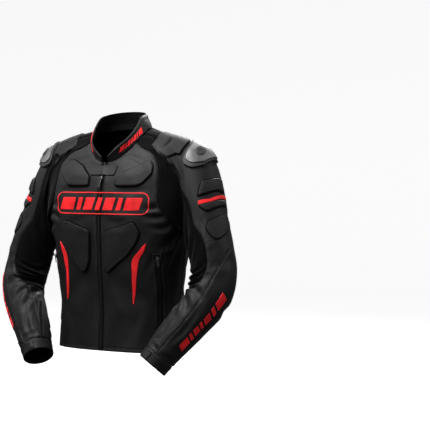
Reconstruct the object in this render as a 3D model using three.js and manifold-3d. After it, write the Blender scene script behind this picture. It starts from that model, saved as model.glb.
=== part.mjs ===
// Leather racing jacket, worn shape with nobody inside.
//
// Millimetres, +Z up. The wearer's left is +X and the front faces -Y. The origin is the centre of
// the neck opening, level with the points where the shoulders meet the neck, which is where the
// jacket hangs on its wearer. Everything is worked out for the wearer's left side, and mirrored.
import * as THREE from 'three';
import Module from 'manifold-3d';
import { mergeVertices } from 'three/addons/utils/BufferGeometryUtils.js';

const wasm = await Module();
wasm.setup();

// ---------- driving dimensions ----------

const LEATHER = 2.0; // body leather with its lining
const STRETCH = 1.8; // stretch fabric
const SEAM = 0.16; // each sewn edge keeps back this far from its seam
const LIFT = 0.45; // a piece that lies on a panel stays this far above it
const ZIP_HALF = 8; // half the opening between the two fronts
const ARMPIT = 4; // torso level of the armpit
const NECK = 9; // torso level of the neckline
const BAND = 1; // torso level of the waistband seam
const ARM_TOP = 0; // sleeve row where the cap has become a round sleeve
const ELBOW_TOP = 1; // sleeve row where the ribbed elbow begins
const ELBOW_END = 4; // sleeve row where the ribbed elbow and the stretch panel end
const CUFF_SEAM = 8; // sleeve row of the seam above the cuff
const CUFF_END = 9; // sleeve row of the cuff's edge
const RIBS = 8; // ribs of the elbow
const RIB_HEIGHT = 3.2;
const RIB_ROWS = 4; // rows between two rows of the sleeve, where there are ribs
const COLLAR_GAP = 0.35; // the collar stands this far above the neckline

const table = (columns, rows) =>
  rows.map((row) => Object.fromEntries(columns.map((name, i) => [name, row[i]])));

// Rings round the torso from the hem up. Each ring has its own height in front, at the side and
// behind, its half width, and how deep and how square it is before and behind the side seam.
const TORSO = table(
  ['level', 'zFront', 'zSide', 'zBack', 'halfWidth', 'frontDepth', 'backDepth', 'frontSquare', 'backSquare'],
  [
    [0, -590, -596, -618, 184, 126, 120, 2.5, 2.3],
    [1, -528, -530, -534, 179, 122, 115, 2.5, 2.3],
    [2, -440, -440, -443, 175, 122, 110, 2.6, 2.3],
    [3, -350, -348, -348, 184, 128, 117, 2.75, 2.3],
    [4, -262, -256, -256, 197, 132, 126, 2.9, 2.3],
    [5, -205, -188, -190, 197, 130, 130, 3, 2.35],
    [6, -163, -125, -130, 189, 124, 129, 2.9, 2.4],
    [7, -130, -68, -74, 176, 116, 120, 2.6, 2.4],
    [8, -106, -12, -26, 135, 104, 98, 2.2, 2.2],
    [9, -88, 0, 12, 84, 97, 64, 2.05, 2.05],
  ],
);

// Where the sleeve seam runs over the torso: its distance from the centre, before and behind.
const RAGLAN = table(
  ['level', 'frontX', 'backX'],
  [
    [4, 197, 197],
    [4.15, 191, 193],
    [4.4, 180, 187],
    [4.75, 168, 180],
    [5.2, 161, 173],
    [5.8, 158, 165],
    [6.4, 155, 157],
    [7, 149, 147],
    [7.6, 130, 132],
    [8.3, 97, 104],
    [9, 71, 70],
  ],
);

// Rings down the sleeve. Angles are in degrees round the sleeve, 0 on its outside and 90 in front:
// the seams before, under and behind the leather of the outside.
const ARM = table(
  ['row', 'x', 'y', 'z', 'outRadius', 'frontRadius', 'tilt', 'seamFront', 'seamUnder', 'seamBack'],
  [
    [0, 259, -10, -256, 61, 66, 0.6, 98, 196, 302],
    [1, 279, -24, -320, 60, 64, 0.35, 80, 198, 300],
    [2, 292, -35, -378, 60, 62, 0.2, 84, 200, 298],
    [3, 293, -54, -424, 58, 60, 0.1, 104, 202, 298],
    [4, 277, -77, -464, 55, 57, 0, 130, 204, 300],
    [5, 249, -99, -503, 52, 54, 0, 138, 206, 304],
    [6, 221, -121, -543, 48, 50, 0, 142, 206, 308],
    [7, 200, -138, -573, 44, 46, 0, 142, 206, 310],
    [8, 190, -146, -588, 42, 45, 0, 142, 206, 310],
    [9, 174, -159, -611, 41, 44, 0, 142, 206, 310],
  ],
);

// Columns round the sleeve seam: the leather top, the stretch panel, and the leather back.
const TOP_COLUMNS = 8;
const UNDER_COLUMNS = 12;
const BACK_COLUMNS = 9;
const FRONT_COLUMNS = 8; // round each front and each half of the back
const TOP_END = TOP_COLUMNS;
const UNDER_END = TOP_END + UNDER_COLUMNS;
const LOOP_END = UNDER_END + BACK_COLUMNS;
const NECK_FRONT = TOP_END + 1; // column of the front corner at the neck
const ARMPIT_COLUMN = NECK_FRONT + RAGLAN.length - 1;
const STRETCH_NECK_ANGLE = 74; // where the stretch panel starts on the neckline, in degrees

const NECK_ROWS = [-1, -0.86]; // the stretch fabric beside the neck
const CAP_ROWS = [-1, -0.86, -0.7, -0.52, -0.34, -0.16, 0];
const UPPER_ROWS = [0.5, 1];
const ELBOW_ROWS = [1.5, 2, 2.5, 3, 3.5, 4];
const FOREARM_ROWS = [5, 6, 7, 8];
const BODY_LEVELS = [0, 0.5, 1, 1.5, 2, 2.5, 3, 3.5];

// The stand collar: how far its top edge rises above the neckline and stands out from it.
const COLLAR = table(
  ['angle', 'rise', 'lean'],
  [
    [0, 7, 2],
    [12, 22, 7],
    [26, 33, 7],
    [45, 35, -4],
    [66, 34, -15],
    [90, 38, -22],
    [135, 40, -13],
    [180, 40, -8],
  ],
);

// ---------- colours ----------

const MATERIALS = {
  leather: { color: 0x1c1c1d, roughness: 0.55, metalness: 0 },
  stretch: { color: 0x0c0c0d, roughness: 0.95, metalness: 0 },
  pad: { color: 0x202021, roughness: 0.5, metalness: 0 },
  red: { color: 0xd8171d, roughness: 0.5, metalness: 0 },
  plate: { color: 0x7d7f82, roughness: 0.35, metalness: 0.7 },
  rubber: { color: 0x151516, roughness: 0.7, metalness: 0 },
  metal: { color: 0x8a8b8c, roughness: 0.3, metalness: 0.9 },
};

// ---------- small maths ----------

const vec = (x, y, z) => new THREE.Vector3(x, y, z);
const radians = THREE.MathUtils.degToRad;
const degrees = THREE.MathUtils.radToDeg;
const mix = (a, b, share) => a + (b - a) * share;
const steps = (count) => Array.from({ length: count + 1 }, (_, i) => i / count);
const range = (from, to) => Array.from({ length: to - from + 1 }, (_, i) => from + i);
const powSign = (value, power) => Math.sign(value) * Math.abs(value) ** power;

// A row between two rows of a table, on a smooth curve through all of them.
function rowAt(rows, key, value) {
  const last = rows.length - 1;
  let i = 0;
  while (i < last - 1 && value > rows[i + 1][key]) i += 1;
  const p = rows[Math.max(i - 1, 0)];
  const a = rows[i];
  const b = rows[i + 1];
  const q = rows[Math.min(i + 2, last)];
  const span = b[key] - a[key];
  const t = THREE.MathUtils.clamp((value - a[key]) / span, 0, 1);
  const result = {};
  for (const name of Object.keys(a)) {
    const slopeA = ((b[name] - p[name]) / (b[key] - p[key])) * span;
    const slopeB = ((q[name] - a[name]) / (q[key] - a[key])) * span;
    result[name] =
      a[name] * (2 * t ** 3 - 3 * t ** 2 + 1) +
      slopeA * (t ** 3 - 2 * t ** 2 + t) +
      b[name] * (3 * t ** 2 - 2 * t ** 3) +
      slopeB * (t ** 3 - t ** 2);
  }
  return result;
}

// A row between two rows of a table, on the straight line between them.
function lineAt(rows, key, value) {
  let i = 0;
  while (i < rows.length - 2 && value > rows[i + 1][key]) i += 1;
  const a = rows[i];
  const b = rows[i + 1];
  const share = (value - a[key]) / (b[key] - a[key]);
  return Object.fromEntries(Object.keys(a).map((name) => [name, mix(a[name], b[name], share)]));
}

// The way out of a surface at a place, from how the surface runs in its two directions.
function outward(surface, u, v, du, dv) {
  const alongU = surface(u + du, v).sub(surface(u - du, v));
  const alongV = surface(u, v + dv).sub(surface(u, v - dv));
  return alongU.cross(alongV).normalize();
}

// ---------- the torso ----------

function torsoPoint(angle, level) {
  const ring = rowAt(TORSO, 'level', level);
  const cos = Math.cos(angle);
  const sin = Math.sin(angle);
  const power = 2 / (cos > 0 ? ring.frontSquare : ring.backSquare);
  const depth = cos > 0 ? ring.frontDepth : ring.backDepth;
  const tip = cos > 0 ? ring.zFront : ring.zBack;
  return vec(
    ring.halfWidth * powSign(sin, power),
    -depth * powSign(cos, power),
    mix(ring.zSide, tip, Math.abs(cos) ** 1.5),
  );
}

const torsoNormal = (angle, level) => {
  const inside = THREE.MathUtils.clamp(level, 0.03, NECK - 0.03);
  return outward(torsoPoint, angle, inside, 0.02, 0.03);
};

// The angle of a place a given distance from the centre, on the front or on the back.
function angleAt(x, level, back = false) {
  const ring = rowAt(TORSO, 'level', level);
  const share = Math.min(x / ring.halfWidth, 1);
  const angle = Math.asin(share ** ((back ? ring.backSquare : ring.frontSquare) / 2));
  return back ? Math.PI - angle : angle;
}

// The place on the front or on the back at a given distance from the centre and height.
function torsoAt(x, z, back = false) {
  let low = 0;
  let high = NECK;
  for (let i = 0; i < 30; i += 1) {
    const level = (low + high) / 2;
    if (torsoPoint(angleAt(Math.abs(x), level, back), level).z < z) low = level;
    else high = level;
  }
  const angle = angleAt(Math.abs(x), low, back) * (x < 0 ? -1 : 1);
  return { point: torsoPoint(angle, low), normal: torsoNormal(angle, low) };
}

const front = (x, z) => torsoAt(x, z);
const back = (x, z) => torsoAt(x, z, true);

// ---------- the sleeve seam ----------

// The torso angle and level of each column of the seam, starting at the back of the neck.
function makeLoop() {
  const neckBack = angleAt(RAGLAN.at(-1).backX, NECK, true);
  const neckFront = angleAt(RAGLAN.at(-1).frontX, NECK);
  const stretchStart = radians(STRETCH_NECK_ANGLE);
  const top = steps(TOP_COLUMNS).map((s) => ({ angle: mix(neckBack, stretchStart, s), level: NECK }));
  const front = RAGLAN.map(({ level, frontX }) => ({ angle: angleAt(frontX, level), level })).reverse();
  const back = RAGLAN.map(({ level, backX }) => ({ angle: angleAt(backX, level, true), level }));
  return { neckBack, neckFront, points: [...top, ...front, ...back.slice(1)] };
}
const LOOP = makeLoop();

function loopAt(column) {
  const around = ((column % LOOP_END) + LOOP_END) % LOOP_END;
  const first = Math.floor(around);
  const a = LOOP.points[first];
  const b = LOOP.points[first + 1];
  const share = around - first;
  return { angle: mix(a.angle, b.angle, share), level: mix(a.level, b.level, share) };
}

// ---------- the sleeve ----------

function armFrame(row) {
  const ring = rowAt(ARM, 'row', row);
  const near = 0.05;
  const before = rowAt(ARM, 'row', Math.max(row - near, ARM_TOP));
  const after = rowAt(ARM, 'row', Math.min(row + near, CUFF_END));
  const along = vec(after.x - before.x, after.y - before.y, after.z - before.z).normalize();
  const out = vec(1, 0, 0).addScaledVector(along, -along.x).normalize();
  const front = along.clone().cross(out);
  return { ring, along, out, front };
}

// The angle round the sleeve of a column, which shares out the space between the seams.
function columnAngle(column, row) {
  const ring = rowAt(ARM, 'row', row);
  const around = ((column % LOOP_END) + LOOP_END) % LOOP_END;
  const back = ring.seamBack - 360;
  if (around < TOP_END) return radians(mix(back, ring.seamFront, around / TOP_COLUMNS));
  const under = (around - TOP_END) / UNDER_COLUMNS;
  if (around < UNDER_END) return radians(mix(ring.seamFront, ring.seamUnder, under));
  return radians(mix(ring.seamUnder, ring.seamBack, (around - UNDER_END) / BACK_COLUMNS));
}

function armPoint(angle, row) {
  const { ring, along, out, front } = armFrame(row);
  const reach = ring.outRadius * Math.cos(angle);
  return vec(ring.x, ring.y, ring.z)
    .addScaledVector(out, reach)
    .addScaledVector(along, -ring.tilt * reach)
    .addScaledVector(front, ring.frontRadius * Math.sin(angle));
}

// The cap of the sleeve leaves the torso smoothly and sideways, and in front a little square to
// the seam.
// Near the armpit it stands off the side and turns down instead.
const CAP_REACH = 0.46;
const SHOULDER_REACH = 0.15; // how much further it reaches over the top, which squares the shoulder
const CAP_SLOPE = 0.25; // how far it falls for each step sideways
const CAP_SQUARE = 0.25;
const ARMPIT_SPREAD = 7; // columns either way
const ARMPIT_DROP = 0.85; // how far it falls for each step out

function capCurve(column) {
  const { angle, level } = loopAt(column);
  const normal = torsoNormal(angle, level);
  const start = torsoPoint(angle, level);
  const turn = columnAngle(column, ARM_TOP);
  const end = armPoint(turn, ARM_TOP);
  const chord = end.clone().sub(start);
  const over = Math.max(Math.cos(turn), 0) ** 2;
  const reach = (CAP_REACH + SHOULDER_REACH * over) * chord.length();
  const away = Math.min(Math.abs(column - ARMPIT_COLUMN) / ARMPIT_SPREAD, 1);
  const under = 1 - away * away * (3 - 2 * away);
  const before = loopAt(column - 0.5);
  const after = loopAt(column + 0.5);
  const seam = torsoPoint(after.angle, after.level).sub(torsoPoint(before.angle, before.level));
  const square = normal.clone().cross(seam).normalize();
  const leave = vec(1, 0, -CAP_SLOPE);
  leave.addScaledVector(normal, -leave.dot(normal)).normalize();
  const forward = (column - TOP_END) / (ARMPIT_COLUMN - TOP_END);
  const turnSquare = CAP_SQUARE * Math.max(Math.sin(Math.PI * forward), 0);
  leave.addScaledVector(square, turnSquare).normalize().multiplyScalar(1 - under);
  leave.addScaledVector(normal, under).add(vec(0, 0, -under * ARMPIT_DROP)).normalize();
  const arrive = armPoint(turn, ARM_TOP + 0.1).sub(end).normalize();
  const points = [start, start.clone().addScaledVector(leave, reach)];
  points.push(end.clone().addScaledVector(arrive, -reach), end);
  return { curve: new THREE.CubicBezierCurve3(...points), normal };
}

function sleevePoint(column, row) {
  if (row < ARM_TOP) return capCurve(column).curve.getPoint(Math.max(row + 1, 0));
  return armPoint(columnAngle(column, row), row);
}

function sleeveNormal(column, row) {
  const inside = THREE.MathUtils.clamp(row, -0.96, CUFF_END - 0.05);
  const own = outward(sleevePoint, column, inside, 0.3, 0.04);
  if (row > -1) return own;
  const { normal } = capCurve(column);
  return own.dot(normal) > 0.8 ? normal : own;
}

// The column that has a given angle round the sleeve, for what is sewn on it.
function columnAt(turn, row) {
  const ring = rowAt(ARM, 'row', Math.max(row, ARM_TOP));
  const back = ring.seamBack - 360;
  if (turn < ring.seamFront) return (TOP_COLUMNS * (turn - back)) / (ring.seamFront - back);
  return TOP_END + (UNDER_COLUMNS * (turn - ring.seamFront)) / (ring.seamUnder - ring.seamFront);
}

function onSleeve(turn, row) {
  const column = columnAt(turn, row);
  const inside = Math.min(row, CUFF_END - 0.05);
  return { point: sleevePoint(column, row), normal: outward(sleevePoint, column, inside, 0.1, 0.03) };
}

// ---------- closed walls ----------

// Joins an outer and an inner grid of points into one closed wall.
function wall(outer, inner, ring = false) {
  const rows = outer.length;
  const columns = outer[0].length;
  const points = [...outer.flat(), ...inner.flat()];
  const at = (side, row, column) => side * rows * columns + row * columns + (column % columns);
  const faces = [];
  const quad = (a, b, c, d) => faces.push(a, b, c, a, c, d);
  const lastRow = rows - 1;
  const cells = ring ? columns : columns - 1;
  for (let c = 0; c < cells; c += 1) {
    for (let r = 0; r < lastRow; r += 1) {
      quad(at(0, r, c), at(0, r, c + 1), at(0, r + 1, c + 1), at(0, r + 1, c));
      quad(at(1, r, c), at(1, r + 1, c), at(1, r + 1, c + 1), at(1, r, c + 1));
    }
    quad(at(0, 0, c), at(1, 0, c), at(1, 0, c + 1), at(0, 0, c + 1));
    quad(at(0, lastRow, c), at(0, lastRow, c + 1), at(1, lastRow, c + 1), at(1, lastRow, c));
  }
  for (let r = 0; r < lastRow && !ring; r += 1) {
    quad(at(0, r, 0), at(0, r + 1, 0), at(1, r + 1, 0), at(1, r, 0));
    quad(at(0, r, cells), at(1, r, cells), at(1, r + 1, cells), at(0, r + 1, cells));
  }
  return asGeometry(points, faces);
}

function asGeometry(points, faces) {
  const volume = (i) => {
    const [a, b, c] = [0, 1, 2].map((k) => points[faces[i + k]]);
    return a.dot(b.clone().cross(c));
  };
  let total = 0;
  for (let i = 0; i < faces.length; i += 3) total += volume(i);
  const turned = total < 0 ? faces.map((_, i) => faces[i - (i % 3) + [0, 2, 1][i % 3]]) : faces;
  const geometry = new THREE.BufferGeometry();
  const flat = points.flatMap((p) => [p.x, p.y, p.z]);
  geometry.setAttribute('position', new THREE.Float32BufferAttribute(flat, 3));
  geometry.setIndex(turned);
  geometry.computeVertexNormals();
  return geometry;
}

// Draws every edge of a grid back from its seam, square to the seam and along the surface.
function keepBack(grid, normals, ring) {
  const rows = grid.length;
  const columns = grid[0].length;
  const shifts = grid.map((row) => row.map(() => vec(0, 0, 0)));
  const draw = (r, c, before, after, inside) => {
    const edge = after.clone().sub(before);
    const side = normals[r][c].clone().cross(edge).normalize();
    const toward = side.dot(inside.clone().sub(grid[r][c])) < 0 ? -SEAM : SEAM;
    shifts[r][c].addScaledVector(side, toward);
  };
  for (let c = 0; c < columns; c += 1) {
    const left = ring ? (c + columns - 1) % columns : Math.max(c - 1, 0);
    const right = ring ? (c + 1) % columns : Math.min(c + 1, columns - 1);
    draw(0, c, grid[0][left], grid[0][right], grid[1][c]);
    draw(rows - 1, c, grid[rows - 1][left], grid[rows - 1][right], grid[rows - 2][c]);
  }
  for (let r = 0; r < rows && !ring; r += 1) {
    const below = Math.max(r - 1, 0);
    const above = Math.min(r + 1, rows - 1);
    draw(r, 0, grid[below][0], grid[above][0], grid[r][1]);
    draw(r, columns - 1, grid[below][columns - 1], grid[above][columns - 1], grid[r][columns - 2]);
  }
  return grid.map((row, r) => row.map((point, c) => point.clone().add(shifts[r][c])));
}

// A sewn panel: its outer face is the surface, with raised forms, and its inner face is plain.
function panel(points, normals, thickness, { raised = () => 0, ring = false } = {}) {
  const face = keepBack(points, normals, ring);
  const move = (sign, amount) =>
    face.map((row, r) => row.map((p, c) => p.clone().addScaledVector(normals[r][c], sign * amount(r, c))));
  return wall(move(1, raised), move(-1, () => thickness), ring);
}

// A piece that lies on a surface. Its rows run along it from one end to the other, and each row
// goes from one edge to the other. It can have a low rim, and rise to its full height over a bevel.
// The step, the bevels at its two ends and those along its edges are in the surface's own units.
function lain(surface, rows, look) {
  const { height, rim = height, columns = 2, step, end = 0, edge = 0, lift = LIFT } = look;
  const first = rows[0].at;
  const last = rows.at(-1).at;
  const way = Math.sign(last - first);
  const stops = rows.slice(1).flatMap((row, i) => {
    const count = Math.max(Math.round(Math.abs(row.at - rows[i].at) / step), 1);
    return steps(count).slice(i ? 1 : 0).map((share) => mix(rows[i].at, row.at, share));
  });
  const clear = end * 1.5;
  const middle = stops.filter((at) => (at - first) * way > clear && (last - at) * way > clear);
  const ends = end ? [first + end * way, last - end * way] : [];
  const places = [first, ...middle, last, ...ends].sort((m, n) => (m - n) * way);
  const outer = [];
  const inner = [];
  places.forEach((at, r) => {
    const { from, to } = lineAt(rows, 'at', at);
    const bevel = Math.min(edge / Math.abs(to - from), 0.25);
    const flat = steps(columns).map((share) => mix(bevel, 1 - bevel, share));
    const across = edge ? [0, ...flat, 1] : flat;
    const ending = end && (r === 0 || r === places.length - 1);
    const spots = across.map((share) => surface(mix(from, to, share), at));
    const up = (c) => (ending || (edge && (c === 0 || c === across.length - 1)) ? rim : height);
    const move = (amount) => ({ point, normal }, c) =>
      point.clone().addScaledVector(normal, lift + amount(c));
    outer.push(spots.map(move(up)));
    inner.push(spots.map(move(() => 0)));
  });
  return wall(outer, inner);
}

const strip = (rows) => table(['at', 'from', 'to'], rows).sort((m, n) => m.at - n.at);

const group = new THREE.Group();
group.name = 'leather_racing_jacket';

function add(name, geometry, look) {
  const material = new THREE.MeshStandardMaterial(MATERIALS[look]);
  const mesh = new THREE.Mesh(geometry, material);
  mesh.name = name;
  group.add(mesh);
  return mesh;
}

function mirrorOf(geometry) {
  const mirrored = geometry.clone();
  mirrored.scale(-1, 1, 1);
  const index = mirrored.index.array.slice();
  for (let i = 0; i < index.length; i += 3) [index[i + 1], index[i + 2]] = [index[i + 2], index[i + 1]];
  mirrored.setIndex(new THREE.BufferAttribute(index, 1));
  mirrored.computeVertexNormals();
  return mirrored;
}

// Adds a piece of the wearer's left side and its mirror image on the right.
function addPair(name, geometry, look) {
  add(`${name}_left`, geometry, look);
  add(`${name}_right`, mirrorOf(geometry), look);
}

// Adds a piece on each side where the two sides aren't quite alike.
function addSides(name, build, { left, right }, look) {
  add(`${name}_left`, build(left), look);
  add(`${name}_right`, mirrorOf(build(right)), look);
}

// ---------- fronts and backs ----------

const TORSO_ROWS = [...BODY_LEVELS, ...RAGLAN.map(({ level }) => level)];

const seamAngle = (level, back) => {
  if (level <= ARMPIT) return Math.PI / 2;
  const row = RAGLAN.find((entry) => entry.level === level);
  return angleAt(back ? row.backX : row.frontX, level, back);
};

function torsoPanel(levels, from, to, thickness, columns = FRONT_COLUMNS) {
  const places = levels.map((level) => steps(columns).map((s) => [mix(from(level), to(level), s), level]));
  const points = places.map((row) => row.map(([angle, level]) => torsoPoint(angle, level)));
  const normals = places.map((row) => row.map(([angle, level]) => torsoNormal(angle, level)));
  return panel(points, normals, thickness);
}

function buildTorso() {
  const front = torsoPanel(
    TORSO_ROWS,
    (level) => angleAt(ZIP_HALF, level),
    (level) => seamAngle(level, false),
    LEATHER,
  );
  addPair('front', front, 'leather');
  const backLevels = TORSO_ROWS.filter((level) => level >= BAND);
  const back = torsoPanel(backLevels, (level) => seamAngle(level, true), () => Math.PI, LEATHER);
  addPair('back', back, 'leather');
  const bandLevels = TORSO_ROWS.filter((level) => level <= BAND);
  const turn = () => Math.PI / 2;
  const band = torsoPanel(bandLevels, turn, () => Math.PI * 1.5, LEATHER, 2 * FRONT_COLUMNS);
  add('waistband_back', band, 'leather');
}

// ---------- sleeves ----------

function sleevePanel(columns, rows, thickness, raised, ring) {
  const points = rows.map((row) => columns.map((column) => sleevePoint(column, row)));
  const normals = rows.map((row) => columns.map((column) => sleeveNormal(column, row)));
  return panel(points, normals, thickness, { raised, ring });
}

// The ribbed elbow: each stretch between two rows is divided, so its sides still meet the seams.
function elbowPanel() {
  const columns = range(UNDER_END, LOOP_END);
  const ribRows = 2 * RIBS;
  const stretches = [ELBOW_TOP, ...ELBOW_ROWS];
  const divided = (pick, unit) =>
    stretches.slice(1).flatMap((row, i) => {
      const before = columns.map((column) => pick(column, stretches[i]));
      const after = columns.map((column) => pick(column, row));
      const inside = steps(RIB_ROWS * i < ribRows ? RIB_ROWS : 1).slice(i ? 1 : 0);
      return inside.map((s) => before.map((point, c) => {
        const between = point.clone().lerp(after[c], s);
        return unit ? between.normalize() : between;
      }));
    });
  const raised = (r, c) => {
    const side = Math.sin((Math.PI * c) / BACK_COLUMNS) ** 0.6;
    const rib = r > 0 && r <= ribRows && r % 2 === 1;
    return rib ? RIB_HEIGHT * side : 0;
  };
  return panel(divided(sleevePoint), divided(sleeveNormal, true), STRETCH, { raised });
}

function buildSleeves() {
  const topColumns = range(0, TOP_END);
  const underColumns = range(TOP_END, UNDER_END);
  const backColumns = range(UNDER_END, LOOP_END);
  const upper = [...CAP_ROWS, ...UPPER_ROWS];
  const forearm = [ELBOW_END, ...FOREARM_ROWS];
  addPair('neck_stretch', sleevePanel(topColumns, NECK_ROWS, STRETCH), 'stretch');
  const top = upper.filter((row) => row >= NECK_ROWS.at(-1));
  addPair('sleeve_top', sleevePanel(topColumns, top, LEATHER), 'leather');
  addPair('sleeve_stretch', sleevePanel(underColumns, [...upper, ...ELBOW_ROWS], STRETCH), 'stretch');
  addPair('sleeve_back', sleevePanel(backColumns, upper, LEATHER), 'leather');
  addPair('elbow_ribs', elbowPanel(), 'leather');
  const outerRows = [ELBOW_TOP, ...ELBOW_ROWS, ...FOREARM_ROWS];
  addPair('forearm_outer', sleevePanel(topColumns, outerRows, LEATHER), 'leather');
  const restColumns = range(TOP_END, LOOP_END);
  addPair('forearm_under', sleevePanel(restColumns, forearm, LEATHER), 'leather');
  const cuffRows = [CUFF_SEAM, CUFF_END];
  const cuff = sleevePanel(range(0, LOOP_END - 1), cuffRows, LEATHER, undefined, true);
  addPair('cuff', cuff, 'leather');
}

// ---------- collar ----------

// A point of the collar above a place on the neckline, from its base at 0 to its top edge at 1.
function collarPoint(angle, share) {
  const base = torsoPoint(angle, NECK);
  const { rise, lean } = rowAt(COLLAR, 'angle', Math.abs(degrees(angle)));
  const out = vec(base.x, base.y + 12, 0).normalize();
  return base.addScaledVector(out, lean * share ** 1.3).add(vec(0, 0, rise * share));
}

function buildCollar() {
  const zipEdge = angleAt(ZIP_HALF, NECK);
  const frontAngles = steps(FRONT_COLUMNS).map((s) => mix(zipEdge, LOOP.neckFront, s));
  const shoulder = range(0, TOP_END).map((column) => LOOP.points[column].angle).reverse();
  const backAngles = steps(FRONT_COLUMNS).map((s) => mix(LOOP.neckBack, Math.PI, s));
  const left = [...frontAngles, ...shoulder, ...backAngles.slice(1)];
  const right = left.slice(0, -1).reverse().map((angle) => -angle);
  const angles = [...left, ...right];
  const heights = [0, 0.5, 1];
  const clear = vec(0, 0, COLLAR_GAP);
  const points = heights.map((h) => angles.map((angle) => collarPoint(angle, h).add(clear)));
  const { clamp } = THREE.MathUtils;
  const away = (angle, h) =>
    outward(collarPoint, clamp(angle, 0.06 - Math.PI, Math.PI - 0.06), clamp(h, 0.2, 0.8), 0.05, 0.2);
  const normals = heights.map((h) => angles.map((angle) => away(angle, h)));
  add('collar', panel(points, normals, LEATHER), 'leather');
}

// ---------- pads, blades and panels on the torso ----------

// A surface whose two directions change places.
const turned = (surface) => (side, at) => surface(at, side);

const CHEST_PAD = {
  left: strip([
    [44, -147, -143],
    [49, -151, -132],
    [57, -152, -120],
    [104, -151, -97],
    [118, -146, -88],
    [129, -134, -83],
    [139, -118, -101],
  ]),
  right: strip([
    [36, -149, -129],
    [40, -151, -125],
    [68, -152, -98],
    [101, -151, -83],
    [120, -133, -82],
    [134, -118, -84],
    [141, -109, -98],
  ]),
};
const BODY_PAD = {
  left: strip([
    [-247, 96, 103],
    [-270, 22, 117],
    [-279, 16, 116],
    [-300, 15, 107],
    [-330, 15, 86],
    [-362, 16, 47],
    [-378, 22, 29],
  ]),
  right: strip([
    [-246, 98, 108],
    [-256, 68, 115],
    [-268, 30, 118],
    [-278, 27, 120],
    [-304, 27, 118],
    [-350, 29, 82],
    [-370, 36, 63],
    [-380, 46, 54],
  ]),
};
const FRONT_BLADE = {
  left: strip([
    [-300, 131, 133],
    [-320, 114, 127],
    [-343, 96, 114],
    [-376, 93, 107],
    [-425, 92, 101],
    [-462, 92, 95],
  ]),
  right: strip([
    [-302, 130, 132],
    [-322, 114, 126],
    [-346, 105, 119],
    [-396, 104, 114],
    [-430, 109, 117],
    [-460, 116, 119],
  ]),
};
const BACK_BLADE = strip([
  [-210, 119, 121],
  [-238, 127, 137],
  [-268, 139, 153],
  [-300, 137, 152],
  [-350, 127, 138],
  [-412, 115, 117],
]);
const RIB_PANEL = strip([
  [-52, 112, 130],
  [-80, 111, 147],
  [-120, 112, 153],
  [-185, 124, 166],
  [-238, 156, 176],
]);
const COLLAR_TAB = strip([
  [-97, -46, 42],
  [-123, -37, 38],
]);

// The stretch band under the collar behind, by torso level. Across the back its places run from
// 0 at the left sleeve seam through 1 in the middle to 2 at the right one.
const NECK_BAND = strip([
  [7.62, 0.9, 1.1],
  [7.78, 0.7, 1.3],
  [8.15, 0.36, 1.64],
  [8.3, 0.18, 1.82],
  [8.6, 0.03, 1.97],
  [8.95, 0.03, 1.97],
]);

// The cinch tab at each side of the waistband, by level and angle.
const WAIST_TAB = strip([
  [0.88, 93, 110],
  [0.14, 93, 110],
]);

// The hump down the upper back: its half width and how far it stands up, by height.
const HUMP = table(
  ['at', 'half', 'up'],
  [
    [-276, 9, 2.5],
    [-262, 26, 3.5],
    [-224, 46, 6],
    [-160, 68, 9],
    [-97, 84, 10],
    [-68, 89, 8],
    [-54, 91, 4.5],
  ],
);
const HUMP_SIDES = [-1, -0.88, -0.6, -0.3, 0, 0.3, 0.6, 0.88, 1];
const HUMP_EDGE = 1.6;
const HUMP_LIFT = 0.75;

function humpRise(side, z) {
  const { up } = rowAt(HUMP, 'at', z);
  return HUMP_EDGE + up * (1 - side * side) ** 0.8;
}

// A place on the hump's outer face.
function onHump(x, z) {
  const spot = back(x, z);
  const side = THREE.MathUtils.clamp(x / rowAt(HUMP, 'at', z).half, -1, 1);
  spot.point.addScaledVector(spot.normal, HUMP_LIFT + humpRise(side, z));
  return spot;
}

function buildHump() {
  const heights = HUMP.slice(1).flatMap(({ at }, i) => {
    const count = Math.max(Math.round(Math.abs(at - HUMP[i].at) / 18), 1);
    return steps(count).slice(i ? 1 : 0).map((share) => mix(HUMP[i].at, at, share));
  });
  const outer = [];
  const inner = [];
  heights.forEach((z) => {
    const { half } = rowAt(HUMP, 'at', z);
    const spots = HUMP_SIDES.map((side) => back(side * half, z));
    const move = (up) => spots.map(({ point, normal }, c) =>
      point.clone().addScaledVector(normal, HUMP_LIFT + up(HUMP_SIDES[c])));
    outer.push(move((side) => humpRise(side, z)));
    inner.push(move(() => 0));
  });
  add('back_hump', wall(outer, inner), 'pad');
}

// The round badge on the hump: plain raised rings.
const BADGE_Z = -134;
const BADGE_LIFT = 0.9;
const BADGE_RINGS = table(
  ['radius', 'up'],
  [
    [6, 1.9],
    [20, 1.9],
    [23, 1],
    [47, 1],
    [50, 1.9],
    [61, 1.9],
  ],
);
const BADGE_POINTS = 18;

function buildBadge() {
  const turns = steps(BADGE_POINTS).slice(0, -1).map((share) => 2 * Math.PI * share);
  const ringAt = (radius, up) => turns.map((turn) => {
    const { point, normal } = onHump(radius * Math.cos(turn), BADGE_Z + radius * Math.sin(turn));
    return point.addScaledVector(normal, BADGE_LIFT + up);
  });
  const outer = BADGE_RINGS.map(({ radius, up }) => ringAt(radius, up));
  const inner = BADGE_RINGS.map(({ radius }) => ringAt(radius, 0));
  add('back_badge', wall(outer, inner, true), 'leather');
}

const TORSO_RIBS = 9;
const RIB_LIFT = 0.6;

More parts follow.
